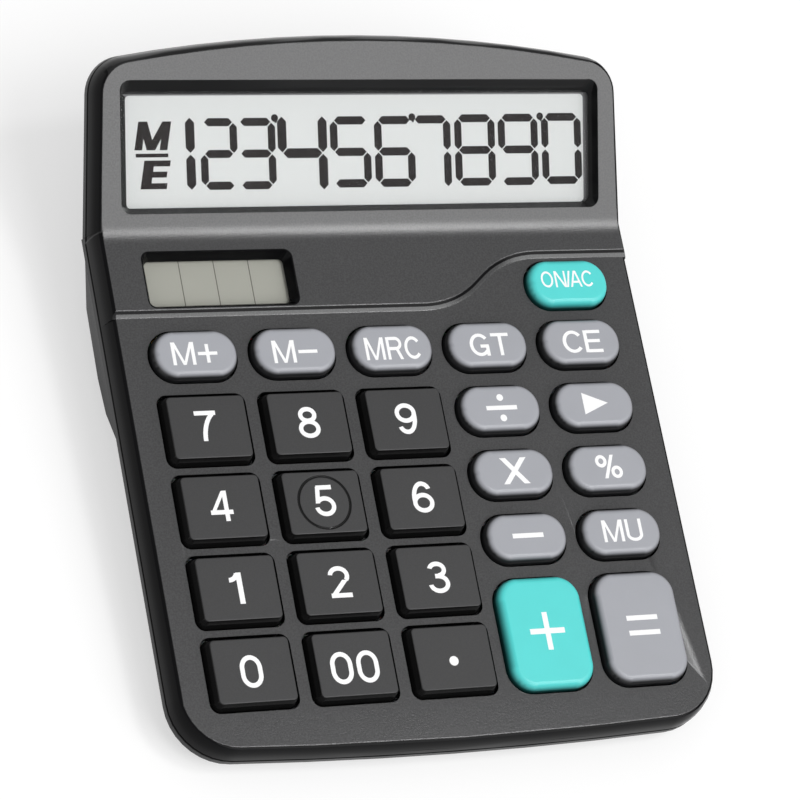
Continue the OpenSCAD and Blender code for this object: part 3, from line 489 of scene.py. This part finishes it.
def lean_over(mesh, lean, level=0.0):
    """Leans a flat mesh along x, with what is at the level staying where it is."""
    mesh.transform(Matrix(((1, lean, 0, -lean * level), (0, 1, 0, 0), (0, 0, 1, 0), (0, 0, 0, 1))))


def stamped(piece, height, width, thickness, place, lean=0.0):
    """A drawn piece, its thickness in metres and the rest in millimetres, with its middle at a place."""
    mesh = piece.data
    if lean:
        lean_over(mesh, lean)
    low, high = ([op(v.co[i] for v in mesh.vertices) for i in range(3)] for op in (min, max))
    middle = Vector(((low[0] + high[0]) / 2, (low[1] + high[1]) / 2, 0))
    scale = (width * MM / (high[0] - low[0]), height * MM / (high[1] - low[1]), thickness / high[2], 1)
    piece.matrix_world = Matrix.Diagonal(scale) @ Matrix.Translation(-middle)
    return settle(piece, place)


def drop(models):
    """Takes the models of the signs out of the scene once the words are made."""
    only(*models.values())
    bpy.ops.object.delete()


# space between two signs, against the height of the capitals, and where it isn't the usual one
USUAL_SPACING = 0.13
SPACING = {"N/": 0.0, "/A": -0.1, "AC": 0.03}
PLAIN = 0.145  # stroke of the words, against the height of the capitals
FINE = 0.125  # and of the one long word


def lettering(text, height, width, thickness, place, models, weight=PLAIN):
    """A word. Each sign is drawn once, kept in models and copied from then on."""
    signs, along, last = [], 0.0, ""
    for sign in text:
        model = (sign, weight)
        if model not in models:
            models[model] = drawn(SIGNS[sign], weight)
        only(models[model])
        bpy.ops.object.duplicate()
        copy = bpy.context.active_object
        xs = [v.co.x for v in copy.data.vertices]
        along += SPACING.get(last + sign, USUAL_SPACING) if signs else 0
        copy.location.x = along - min(xs)
        along += max(xs) - min(xs)
        last = sign
        signs.append(copy)
    return stamped(join(signs, "word"), height, width, thickness, place)


# ---- stage ----


class CALCULATOR_OT_stage(bpy.types.Operator):
    """Adds the floor, the soft lights and the camera"""
    bl_idname = "calculator.stage"
    bl_label = "Stage"

    def execute(self, context):
        looks = context.scene.calculator_stage
        context.scene.view_settings.view_transform = "Standard"
        bpy.ops.object.select_all(action="DESELECT")
        bpy.ops.mesh.primitive_plane_add(size=12, location=(0, 0, -0.1 * MM))
        floor = context.active_object
        floor.name = "floor"
        paint = Finish("floor_paint")
        diffuse = paint.node("ShaderNodeBsdfDiffuse", {}, {
            "Color": paint.tint(looks.floor, paint.noise(0.3, 3), 0.01)})
        path = paint.node("ShaderNodeLightPath").socket.node.outputs
        seen = Wire(paint, path["Is Camera Ray"]) | Wire(paint, path["Is Glossy Ray"]) | \
            Wire(paint, path["Is Transmission Ray"])
        glow = paint.node("ShaderNodeEmission", {}, {"Strength": seen * looks.floor_glow})
        paint.output(paint.node("ShaderNodeAddShader", {}, {0: diffuse, 1: glow}))
        wear(floor, paint.material)

        world = bpy.data.worlds.new("studio")
        context.scene.world = world
        world.use_nodes = True
        world.node_tree.nodes["Background"].inputs["Color"].default_value = (1, 1, 1, 1)
        world.node_tree.nodes["Background"].inputs["Strength"].default_value = looks.room_light

        self.lamp("key_light", (0.42, -0.4, 0.82), 40, looks.key_power)
        self.lamp("crease_light", (0.42, 0.035, 0.906), 11, looks.crease_power)
        self.lamp("fill_light", (-0.55, -0.5, 0.67), 60, looks.fill_power)

        bpy.ops.object.camera_add()
        camera = context.active_object
        camera.data.lens = looks.lens / MM
        camera.data.sensor_width = 36
        camera.data.clip_start = 0.01
        # rows: right, down and forward of the view in the deck's frame
        view = Matrix(((0.90609, -0.18293, 0.3815),
                       (-0.0333, -0.92974, -0.36671),
                       (0.42178, 0.31957, -0.84852)))
        flip = Matrix(((1, 0, 0), (0, -1, 0), (0, 0, -1)))
        turn = (flip @ view @ DECK.to_3x3().transposed()).transposed().to_4x4()
        place = DECK @ (Vector((-377.36, -324.26, 759.77)) * MM)
        camera.matrix_world = Matrix.Translation(place) @ turn
        context.scene.camera = camera
        return {"FINISHED"}

    def lamp(self, name, direction, spread, power):
        bpy.ops.object.light_add(type="SUN")
        lamp = bpy.context.active_object
        lamp.name = name
        lamp.data.angle = math.radians(spread)
        lamp.data.energy = power
        aim = (DECK.to_3x3() @ Vector(direction)).normalized()
        lamp.matrix_world = Matrix.Translation(aim) @ aim.to_track_quat("Z", "Y").to_matrix().to_4x4()


# ---- covers ----


# where the finishes of the covers change, in millimetres of the deck's frame or the panel's
CREASE_BAND = (-0.3, 0.3)
LEFT_GLOSS = (58.25, 58.5)
RIGHT_GLOSS = (59.0, 59.3)
UNDER_FACE = (-0.16, -0.04)
SOLAR_X, SOLAR_Y = -34.5, -10.7
SOLAR_HALF_W, SOLAR_HALF_D = 16.6, 6.2
SOLAR_EDGE = 0.1
SOLAR_RIM_HALF_W, SOLAR_RIM_HALF_D = 14.75, 4.35
SOLAR_RIM_SQUARED = (3.4, 3.8)
# the band across the middle of the step's slope that gets painted shade
STEP_SHADE_FOOT, STEP_SHADE_HEAD = (0.36, 0.46), (0.7, 0.77)
DISPLAY_X, DISPLAY_HALF_W = -1.5, 55
GROOVE_HALF = (0.3, 0.45)
GRAIN_BAND = (0.3, 0.7)
BLACK = (0, 0, 0, 1)
RECESS_WALL = (0.02, 0.02, 0.0205, 1)


def cover_finish(looks):
    """Matte keypad face and display panel, glossy dark sides and recess walls, and painted shade in the glossy
    dark finish across the middle of the step.
    """
    bench = Finish("cover_plastic")
    x, y, z = bench.split(bench.in_deck())
    _, _, w = bench.split(bench.in_panel())
    on_panel = bench.ramp(y, *CREASE_BAND)
    side = bench.ramp(-1 * x, *LEFT_GLOSS) | bench.ramp(x, *RIGHT_GLOSS)
    below_deck = 1 - bench.ramp(z, *UNDER_FACE)
    in_solar = bench.ramp(SOLAR_HALF_W - abs(x - SOLAR_X), 0, SOLAR_EDGE) * \
        bench.ramp(SOLAR_HALF_D - abs(y - SOLAR_Y), 0, SOLAR_EDGE)
    below_step = in_solar * (1 - bench.ramp(z, *(STEP_H + edge for edge in UNDER_FACE)))
    below_panel = 1 - bench.ramp(w, *UNDER_FACE)
    rim_x = (abs(x - SOLAR_X) - SOLAR_RIM_HALF_W) | 0.0
    rim_y = (abs(y - SOLAR_Y) - SOLAR_RIM_HALF_D) | 0.0
    solar_rim = 1 - bench.ramp(rim_x * rim_x + rim_y * rim_y, *SOLAR_RIM_SQUARED)
    # painted shade: the middle of the step's slope takes the glossy dark finish of the sides
    step_shade_band = bench.ramp(z, *STEP_SHADE_FOOT) * (1 - bench.ramp(z, *STEP_SHADE_HEAD))
    on_deck = 1 - on_panel
    gloss = ((below_deck | side | below_step | step_shade_band | solar_rim) * on_deck) | (below_panel * on_panel)
    grain = bench.noise(0.00035, 2)
    cloud = bench.noise(0.02, 2)
    mottle = cloud * 0.3 + bench.ramp(grain, *GRAIN_BAND) * 0.7
    matte = bench.shader(base_color=bench.tint(looks.face, mottle, 0.2),
                         roughness=0.2 + 0.05 * grain, normal=bench.bump(grain, 0.000025, 0.8))
    groove = parting(bench, z, w, on_panel)
    recess = below_panel * on_panel * bench.ramp(DISPLAY_HALF_W - abs(x - DISPLAY_X), 0, 0.1)
    wall = bench.blend(recess, bench.tint(looks.side, cloud, 0.15), bench.tint(RECESS_WALL, cloud, 0.15))
    # the groove between the covers is painted black as painted shade
    glossy = bench.shader(base_color=bench.blend(groove, wall, BLACK),
                          roughness=0.14 + 0.03 * cloud + 0.8 * groove, specular_ior_level=0.07)
    return bench.mixed(gloss, matte, glossy)


def parting(bench, z, w, on_panel):
    """1 in the narrow groove between the two covers, which is painted black as its shade."""
    return (1 - bench.ramp(abs(z - PARTING), *GROOVE_HALF)) * (1 - on_panel) | \
        (1 - bench.ramp(abs(w - PARTING), *GROOVE_HALF)) * on_panel


def base_finish(looks):
    """Dark satin plastic with the groove's shadow along its upper edge."""
    bench = Finish("base_plastic")
    _, y, z = bench.split(bench.in_deck())
    _, _, w = bench.split(bench.in_panel())
    groove = parting(bench, z, w, bench.ramp(y, *CREASE_BAND))
    grain = bench.noise(0.0004, 2)
    cloud = bench.noise(0.03, 2)
    return bench.surface(
        base_color=bench.blend(groove, bench.tint(looks.base, cloud, 0.12), BLACK),
        roughness=0.3 + 0.12 * grain + 0.55 * groove, specular_ior_level=0.25,
        normal=bench.bump(grain, 0.00002, 0.5))


class CALCULATOR_OT_covers(bpy.types.Operator):
    """Dresses the top cover, the bottom cover and the battery door"""
    bl_idname = "calculator.covers"
    bl_label = "Covers"

    def execute(self, context):
        looks = context.scene.calculator_covers
        top = wear(dressed("top_cover", looks.soft_edge), cover_finish(looks))
        finish = base_finish(looks)
        for node in ("bottom_cover", "battery_door"):
            wear(dressed(node, looks.soft_edge), finish)
        return {"FINISHED"}


# ---- keys ----

NUMBER_ROWS = [("7", "8", "9"), ("4", "5", "6"), ("1", "2", "3"), ("0", "00", "point")]
GREY_KEYS = ["memory_plus", "memory_minus", "memory_recall", "grand_total", "clear_entry", "divide",
             "backspace", "multiply", "percent", "minus", "markup", "equals"]
ACCENT_KEYS = ["on_clear", "plus"]


# softened edge in metres and least angle in degrees of a key's edges
KEY_SOFT_EDGE, KEY_CREASE = 0.00012, 28
# painted shade on a coloured key's sides: how dark it is painted at its foot, and how high its foot ends in
# millimetres
GREY_FOOT_SHADE = (0.04, 1.4)
ACCENT_FOOT_SHADE = (0.08, 0.1)
# the painted shade on the coloured keys fades out just under their tops
LIT_TOP = PILL_TOP - 0.01


def number_key_finish(looks):
    """Matte flat tops and glossy black sides."""
    bench = Finish("number_key_plastic")
    _, _, z = bench.split(bench.in_deck())
    top = bench.ramp(z, NUMBER_TOP - 0.12, NUMBER_TOP - 0.03)
    grain = bench.noise(0.0003, 2)
    cloud = bench.noise(0.012, 2)
    mottle = cloud * 0.4 + bench.ramp(grain, *GRAIN_BAND) * 0.6
    matte = bench.shader(base_color=bench.tint(looks.number, mottle, 0.18),
                         roughness=0.42 + 0.05 * grain, normal=bench.bump(grain, 0.00002, 0.5))
    glossy = bench.shader(base_color=bench.tint((0.008, 0.008, 0.008, 1), cloud, 0.15),
                          roughness=0.12 + 0.03 * cloud, specular_ior_level=0.25)
    return bench.mixed(top, glossy, matte)


def coloured_key_finish(name, tint, depth, foot):
    """Moulded colour with painted shade that deepens from the key's top down its sides to its foot."""
    bench = Finish(name)
    _, _, z = bench.split(bench.in_deck())
    # painted shade: the key's colour darkens from just under its top down to its foot
    lit = bench.ramp(z, foot, LIT_TOP)
    grain = bench.noise(0.0004, 2)
    cloud = bench.noise(0.006, 1)
    face = bench.tint(tint, cloud * 0.7 + grain * 0.3, 0.05)
    painted_foot_shade = tuple(c * depth for c in tint[:3]) + (1,)
    return bench.surface(
        base_color=bench.blend(lit, painted_foot_shade, face), roughness=0.3 + 0.06 * grain,
        normal=bench.bump(grain, 0.00001, 0.4))


class CALCULATOR_OT_keys(bpy.types.Operator):
    """Dresses the number keys, the grey keys and the two accent keys"""
    bl_idname = "calculator.keys"
    bl_label = "Keys"

    def execute(self, context):
        looks = context.scene.calculator_keys
        groups = [
            ([key for row in NUMBER_ROWS for key in row], number_key_finish(looks), "dark_key"),
            (GREY_KEYS, coloured_key_finish("grey_key_plastic", looks.grey, *GREY_FOOT_SHADE), "grey_key"),
            (ACCENT_KEYS, coloured_key_finish("accent_key_plastic", looks.accent, *ACCENT_FOOT_SHADE), "teal_key"),
        ]
        for keys, finish, slot in groups:
            for key in keys:
                wear(dressed("key_" + key, KEY_SOFT_EDGE, KEY_CREASE), finish)
        return {"FINISHED"}


# ---- legends ----


def key_place(key):
    """The middle of a key's top, turned as the deck is."""
    low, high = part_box("key_" + key)
    middle = DECK.inverted() @ ((low + high) / 2)
    top = NUMBER_TOP if any(key in row for row in NUMBER_ROWS) else PILL_TOP
    return DECK @ Matrix.Translation((middle.x, middle.y, top * MM))


# key, text, height of its capitals, width, and how far right of and above the key's middle
WORDS = [
    ("memory_plus", "M+", 4.9, 9.8, -0.5, -0.15), ("memory_minus", "M-", 4.9, 9.8, -0.3, -0.4),
    ("memory_recall", "MRC", 5.0, 12.2, -0.3, -0.4), ("grand_total", "GT", 5.0, 9.1, 0.15, -0.25),
    ("clear_entry", "CE", 5.0, 9.1, -0.05, -0.2), ("on_clear", "ON/AC", 3.65, 12.0, -0.6, 0.5),
    ("percent", "%", 5.2, 5.9, 0, 0), ("markup", "MU", 4.8, 9.1, 0, 0),
    ("7", "7", 6.4, 4.6, -0.65, 0.1), ("8", "8", 6.7, 4.7, -0.2, 0), ("9", "9", 6.7, 4.7, -0.2, 0),
    ("4", "4", 6.4, 4.8, -0.65, 0.1), ("5", "5", 6.6, 4.6, 0.05, 0.2), ("6", "6", 6.7, 4.7, 0, 0),
    ("1", "1", 6.5, 2.7, -0.5, -0.15), ("2", "2", 6.6, 4.6, 0, 0), ("3", "3", 6.7, 4.7, -0.05, -0.2),
    ("0", "0", 6.7, 4.7, -0.55, -0.35), ("00", "00", 6.7, 10.4, -0.2, -0.85),
]
# key, strokes in millimetres, their width, and the same two shifts
SHAPES = [
    ("divide", [("across", 0, -3.5, 3.5), ("dot", 0, 2.25, 0.75), ("dot", 0, -2.25, 0.75)], 0.95, -0.05, -0.2),
    ("minus", [("across", 0, -3.5, 3.5)], 1.0, 0, 0),
    ("plus", [("across", 0, -3.9, 3.9), ("up", 0, -4, 4)], 1.15, 0, 0),
    ("equals", [("across", 1.6, -3.55, 3.55), ("across", -1.6, -3.55, 3.55)], 1.05, 0.2, 0),
    ("backspace", [("arrow", -2.8, 2.9, -2.4, 2.4)], 1.0, 0, 0),
    ("multiply", [("slant", -2.35, -2.85, 2.35, 2.85), ("slant", 2.35, -2.85, -2.35, 2.85)], 1.05, 0, 0),
    ("point", [("dot", 0, 0, 1.0)], 1.0, -0.2, -0.85),
]


class CALCULATOR_OT_legends(bpy.types.Operator):
    """Prints the legends on the keys"""
    bl_idname = "calculator.legends"
    bl_label = "Legends"

    def execute(self, context):
        looks = context.scene.calculator_keys
        bench = Finish("print_ink")
        ink = bench.surface(base_color=bench.tint(looks.print_colour, bench.noise(0.0012, 2), 0.04),
                            roughness=0.4 + 0.1 * bench.noise(0.0004))
        models = {}
        for key, text, height, width, right, above in WORDS:
            place = key_place(key) @ Matrix.Translation((right * MM, above * MM, 0))
            weight = FINE if len(text) > 3 else PLAIN
            self.print_on(lettering(text, height, width, looks.print_height, place, models, weight), key, ink)
        for key, strokes, weight, right, above in SHAPES:
            place = key_place(key) @ Matrix.Translation((right * MM, above * MM, 0))
            piece = drawn(strokes, weight)
            width, height = piece.dimensions.xy
            self.print_on(stamped(piece, height, width, looks.print_height, place), key, ink)
        drop(models)
        return {"FINISHED"}

    def print_on(self, piece, key, ink):
        piece.name = piece.data.name = "print_" + key
        wear(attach(piece, frame["nodes"]["key_" + key]["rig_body"]), ink)


# ---- display ----

# digit, left, right, low and high edge on the panel in mm, width of its strokes
DIGITS = [
    ("1", -45.6, -36.6, 8.2, 22.8, 2.0), ("2", -35.4, -27.2, 8.1, 22.7, 1.65),
    ("3", -27.4, -18.7, 8.1, 22.7, 1.65), ("4", -18.2, -7.1, 7.9, 22.9, 2.0),
    ("5", -6.4, 2.8, 8.2, 22.9, 1.7), ("6", 3.65, 12.9, 8.2, 22.9, 1.7),
    ("7", 12.0, 21.2, 8.2, 23.0, 1.7), ("8", 22.1, 31.5, 8.2, 23.15, 1.65),
    ("9", 32.25, 41.6, 8.2, 23.2, 1.65), ("0", 42.45, 51.85, 8.3, 23.3, 1.65),
]
LIT = {"1": "bc", "2": "abged", "3": "abgcd", "4": "fgbc", "5": "afgcd", "6": "afgedc", "7": "abc",
       "8": "abcdefg", "9": "abfgcd", "0": "abcdef"}
# the two leaning marks: strokes in millimetres, their width, the mark's middle and width
MARKS = [
    ("m", [("up", 0.82, 0, 5.8), ("up", 6.28, 0, 5.8), ("slant", 3.55, 0, 1.0, 5.8),
           ("slant", 3.55, 0, 6.1, 5.8)], 1.65, -45.8, 19.2, 8.1),
    ("e", [("up", 0.6, 0, 5.8), ("up", 1.2, 0, 5.8), ("up", 1.6, 0, 5.8), ("across", 5.2, 0, 5.7),
           ("across", 2.95, 0, 5.3), ("across", 0.6, 0, 5.65)], 1.2, -45.3, 11.3, 6.7),
]
MARK_H, MARK_LEAN = 5.8, 0.16
MARK_BAR = (-49.6, -42.5, 14.85, 15.6)  # left, right, low and high edge of the bar between the marks
DIGIT_LEAN = -0.025  # the digits lean back a little, round this level on the panel
DIGIT_LEVEL = 15.5
COMMAS = [-18.72, 12.41, 42.23]
COMMA_Y, COMMA_R = 22.65, 0.78
COMMA_TAIL = (-0.05, 0.35, 21.6, 22.6)  # its left and right edge from the comma, its low and high edge
INK_LIFT = 0.008  # the digits start this far above the cell
SEGMENT_GAP = 0.2
TIP = 0.97  # how far the cut of a segment's ends goes into its half width
# the pale field of the cell, and the frame round it: painted light at the right and close to the top, painted
# shade at the left and bottom
FIELD_X, FIELD_Y = 0.26, 15.93
FIELD_HALF_W, FIELD_HALF_H = 51.11, 10.5
FIELD_CORNER_SQUARED = (0.72, 0.9)
FRAME_LEFT, FRAME_RIGHT, FRAME_LOW, FRAME_HIGH = -51.95, 52.3, 4.57, 27.3
FRAME_TOP_END = (27.6, 27.7)


def segments(digit, left, right, low, high, stroke, height):
    """The lit segments of one digit."""
    gap = SEGMENT_GAP
    middle = (low + high) / 2
    half = stroke / 2
    x0, x1 = left + half + gap, right - half - gap
    upper = (middle + gap, high - half - gap if "a" in LIT[digit] else high)
    lower = (low + half + gap if "d" in LIT[digit] else low, middle - gap)
    spans = {
        "a": (x0, x1, high - stroke, high), "g": (x0, x1, middle - half, middle + half),
        "d": (x0, x1, low, low + stroke),
        "f": (left, left + stroke, *upper), "b": (right - stroke, right, *upper),
        "e": (left, left + stroke, *lower), "c": (right - stroke, right, *lower),
    }
    return [block(*spans[name], height, tip=half * TIP) for name in LIT[digit]]


class CALCULATOR_OT_display(bpy.types.Operator):
    """Shows the digits and finishes the display cell, its window and its holder"""
    bl_idname = "calculator.display"
    bl_label = "Display"

    def execute(self, context):
        looks = context.scene.calculator_display
        bench = Finish("display_ink")
        ink = bench.surface(base_color=bench.tint(looks.segment, bench.noise(0.002, 1), 0.1),
                            roughness=0.5 + 0.05 * bench.noise(0.001), specular_ior_level=0.05)
        place = PANEL @ Matrix.Translation((0, 0, (CELL_TOP + INK_LIFT) * MM))
        pieces = [segment for digit in DIGITS for segment in segments(*digit, 1.0)]
        for x in COMMAS:
            pieces.append(dot(x, COMMA_Y, COMMA_R, 1.0))
            left, right, low, high = COMMA_TAIL
            pieces.append(block(x + left, x + right, low, high, 1.1, lean=0.35))
        pieces.append(block(*MARK_BAR, 1.0))
        digits = join(pieces, "display_digits")
        lean_over(digits.data, DIGIT_LEAN, DIGIT_LEVEL)
        digits.matrix_world = Matrix.Diagonal((MM, MM, looks.segment_height, 1))
        wear(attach(settle(digits, place), "case"), ink)
        for name, strokes, weight, x, y, width in MARKS:
            mark = stamped(drawn(strokes, weight), MARK_H, width, looks.segment_height,
                           place @ Matrix.Translation((x * MM, y * MM, 0)), lean=MARK_LEAN)
            mark.name = mark.data.name = "display_mark_" + name
            wear(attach(mark, "case"), ink)

        bench = Finish("display_cell")
        x, y, _ = bench.split(bench.in_panel())
        cloud = bench.noise(0.03, 1)
        across = (abs(x - FIELD_X) - FIELD_HALF_W) | 0.0
        along = (abs(y - FIELD_Y) - FIELD_HALF_H) | 0.0
        outside = bench.ramp(across * across + along * along, *FIELD_CORNER_SQUARED)
        # painted light and shade on the frame: light grey towards the right and the top, near black towards the
        # left and the bottom
        far = (x - FRAME_RIGHT) | (y - FRAME_HIGH)
        near = (FRAME_LEFT - x) | (FRAME_LOW - y)
        lit = bench.ramp(far - near, -0.05, 0.05) * (1 - bench.ramp(y, *FRAME_TOP_END))
        rim = bench.blend(lit, (0.02, 0.02, 0.02, 1), (0.18, 0.18, 0.185, 1))
        wear(frame["nodes"]["lcd_glass"], bench.surface(
            base_color=bench.blend(outside, bench.tint(looks.cell, cloud, 0.015), rim),
            roughness=0.5 + 0.05 * bench.noise(0.002), specular_ior_level=0.05))

        wear(frame["nodes"]["display_window"], window_finish("display_window_plastic"))

        bench = Finish("reflector_film")
        wear(frame["nodes"]["lcd_reflector"], bench.surface(
            base_color=bench.tint((0.75, 0.76, 0.76, 1), bench.noise(0.0006, 2), 0.05), metallic=0.9,
            roughness=0.35 + 0.1 * bench.noise(0.0005)))
        bench = Finish("holder_plastic")
        wear(frame["nodes"]["lcd_holder"], bench.surface(
            base_color=bench.tint((0.55, 0.56, 0.55, 1), bench.noise(0.01, 2), 0.05),
            roughness=0.45 + 0.08 * bench.noise(0.0006)))

        bench = Finish("ribbon_film")
        x, _, _ = bench.split(bench.in_deck())
        pitch = 0.8
        track = bench.ramp(abs((x % pitch) - pitch / 2), 0.12, 0.16)
        wear(frame["nodes"]["lcd_ribbon"], bench.surface(
            base_color=bench.blend(track, (0.12, 0.1, 0.08, 1), (0.62, 0.36, 0.08, 1)),
            roughness=0.3 + 0.1 * bench.noise(0.001)))
        return {"FINISHED"}


def window_finish(name):
    """Clear plastic with a little dust."""
    bench = Finish(name)
    dust = bench.noise(0.0008, 2)
    return bench.surface(base_color=bench.tint((0.2, 0.21, 0.21, 1), dust, 0.1), roughness=0.06 + 0.04 * dust,
                         alpha=0.03 + 0.01 * dust)


# ---- solar panel ----


# the dark lines between the strips of the cell, in millimetres of the deck's frame
DIVIDER_X, DIVIDER_PITCH = -34.3, 7.65
DIVIDER_EDGE = (3.71, 3.75)
DIVIDER_REACH = (9, 9.1)


class CALCULATOR_OT_solar(bpy.types.Operator):
    """Finishes the solar cell with its dividers, its window and its leads"""
    bl_idname = "calculator.solar"
    bl_label = "Solar panel"

    def execute(self, context):
        bench = Finish("solar_silicon")
        x, _, _ = bench.split(bench.in_deck())
        line = bench.ramp(abs((x - DIVIDER_X) % DIVIDER_PITCH - DIVIDER_PITCH / 2), *DIVIDER_EDGE) * \
            (1 - bench.ramp(abs(x - DIVIDER_X), *DIVIDER_REACH))
        cloud = bench.noise(0.004, 2)
        face = bench.tint((0.42, 0.42, 0.37, 1), cloud, 0.015)
        wear(frame["nodes"]["solar_cell"], bench.surface(
            base_color=bench.blend(line, face, (0.1, 0.1, 0.08, 1)), roughness=0.4 + 0.03 * cloud,
            specular_ior_level=0.2))
        wear(frame["nodes"]["solar_window"], window_finish("solar_window_plastic"))
        bench = Finish("lead_insulation")
        x, _, _ = bench.split(bench.in_deck())
        red = bench.ramp(x, -28.3, -28.1)
        wear(frame["nodes"]["solar_leads"], bench.surface(
            base_color=bench.blend(red, (0.015, 0.015, 0.015, 1), (0.5, 0.02, 0.015, 1)),
            roughness=0.35 + 0.1 * bench.noise(0.001)))
        return {"FINISHED"}


# ---- inside ----


class CALCULATOR_OT_inside(bpy.types.Operator):
    """Finishes the board, its parts, the rubber mat, the battery and its contacts"""
    bl_idname = "calculator.inside"
    bl_label = "Inside"

    def execute(self, context):
        nodes = frame["nodes"]
        bench = Finish("board_mask")
        x, y, _ = bench.split(bench.in_deck())
        pitch = 2.4
        stripes = bench.ramp(abs((x + y * 0.35) % pitch - pitch / 2), 0.16, 0.24)
        tracks = stripes | bench.ramp(bench.noise(0.01, 0), 0.5, 0.52)
        weave = bench.noise(0.0006, 2)
        wear(nodes["circuit_board"], bench.surface(
            base_color=bench.blend(tracks, (0.1, 0.3, 0.12, 1), bench.tint((0.03, 0.16, 0.06, 1), weave, 0.1)),
            roughness=0.3 + 0.12 * weave, normal=bench.bump(tracks, 0.00003, 0.5)))
        bench = Finish("dome_silicone")
        wear(nodes["dome_mat"], bench.surface(
            base_color=bench.tint((0.55, 0.56, 0.57, 1), bench.noise(0.003, 2), 0.06),
            roughness=0.5 + 0.1 * bench.noise(0.0006), subsurface_weight=0.1, subsurface_scale=0.001))
        bench = Finish("chip_epoxy")
        wear(nodes["controller_chip"], bench.surface(
            base_color=bench.tint((0.02, 0.02, 0.02, 1), bench.noise(0.0008, 3), 0.3),
            roughness=0.45 + 0.2 * bench.noise(0.0005), normal=bench.bump(bench.noise(0.0003, 2), 0.00002)))
        bench = Finish("small_parts")
        x, _, _ = bench.split(bench.in_deck())
        blue = bench.ramp(x, 9.3, 9.4)
        steel = bench.ramp(x, 0.5, 0.6) * (1 - blue)
        body = bench.blend(steel, (0.45, 0.33, 0.2, 1), (0.55, 0.55, 0.56, 1))
        wear(nodes["board_parts"], bench.surface(
            base_color=bench.blend(blue, body, (0.02, 0.03, 0.16, 1)), metallic=steel * 0.9,
            roughness=0.3 + 0.15 * bench.noise(0.0005)))
        bench = Finish("battery_jacket")
        x, _, _ = bench.split(bench.object_point())
        low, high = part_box("battery")
        metal = bench.ramp(x, high.x - 0.0018, high.x - 0.0017) | \
            (1 - bench.ramp(x, low.x + 0.001, low.x + 0.0011))
        band = bench.ramp(x, low.x + 0.0295, low.x + 0.0297)
        jacket = bench.blend(band, (0.03, 0.03, 0.035, 1), (0.48, 0.3, 0.1, 1))
        wear(nodes["battery"], bench.surface(
            base_color=bench.blend(metal, jacket, (0.65, 0.65, 0.66, 1)), metallic=0.3 + 0.65 * metal,
            roughness=0.25 + 0.1 * bench.noise(0.0015)))
        bench = Finish("contact_steel")
        wear(nodes["battery_spring"], bench.surface(
            base_color=bench.tint((0.62, 0.62, 0.6, 1), bench.noise(0.002, 2), 0.06), metallic=1.0,
            roughness=0.22 + 0.12 * bench.noise(0.0006)))
        wear(nodes["battery_contact"], bench.material)
        bench = Finish("screw_steel")
        wear(nodes["case_screws"], bench.surface(
            base_color=bench.tint((0.5, 0.5, 0.49, 1), bench.noise(0.0006, 2), 0.08), metallic=1.0,
            roughness=0.28 + 0.15 * bench.noise(0.0003)))
        wear(nodes["board_screws"], bench.material)
        bench = Finish("foot_rubber")
        wear(nodes["rubber_feet"], bench.surface(
            base_color=bench.tint((0.025, 0.025, 0.025, 1), bench.noise(0.0008, 3), 0.2),
            roughness=0.75 + 0.15 * bench.noise(0.0005), normal=bench.bump(bench.noise(0.0003, 2), 0.00003)))
        return {"FINISHED"}


class CALCULATOR_PT_panel(bpy.types.Panel):
    """Lists the steps that dress the calculator"""
    bl_idname = "CALCULATOR_PT_panel"
    bl_label = "Desk Calculator"
    bl_space_type = "VIEW_3D"
    bl_region_type = "UI"
    bl_category = "Calculator"

    def draw(self, context):
        scene = context.scene
        for group in (scene.calculator_covers, scene.calculator_keys, scene.calculator_display,
                      scene.calculator_stage):
            box = self.layout.box()
            for name in group.__annotations__:
                box.prop(group, name)
        for operator in STEPS:
            self.layout.operator(operator.bl_idname)


STEPS = (CALCULATOR_OT_stage, CALCULATOR_OT_covers, CALCULATOR_OT_keys, CALCULATOR_OT_legends,
         CALCULATOR_OT_display, CALCULATOR_OT_solar, CALCULATOR_OT_inside)
GROUPS = {"calculator_covers": CoverLooks, "calculator_keys": KeyLooks, "calculator_display": DisplayLooks,
          "calculator_stage": StageLooks}


def register():
    for group in GROUPS.values():
        bpy.utils.register_class(group)
    for step in STEPS:
        bpy.utils.register_class(step)
    bpy.utils.register_class(CALCULATOR_PT_panel)
    for name, group in GROUPS.items():
        setattr(bpy.types.Scene, name, PointerProperty(type=group))


def unregister():
    for name in GROUPS:
        delattr(bpy.types.Scene, name)
    bpy.utils.unregister_class(CALCULATOR_PT_panel)
    for step in reversed(STEPS):
        bpy.utils.unregister_class(step)
    for group in reversed(list(GROUPS.values())):
        bpy.utils.unregister_class(group)


def main():
    register()
    bpy.ops.calculator.stage()
    bpy.ops.calculator.covers()
    bpy.ops.calculator.keys()
    bpy.ops.calculator.legends()
    bpy.ops.calculator.display()
    bpy.ops.calculator.solar()
    bpy.ops.calculator.inside()


if __name__ == "__main__":
    main()
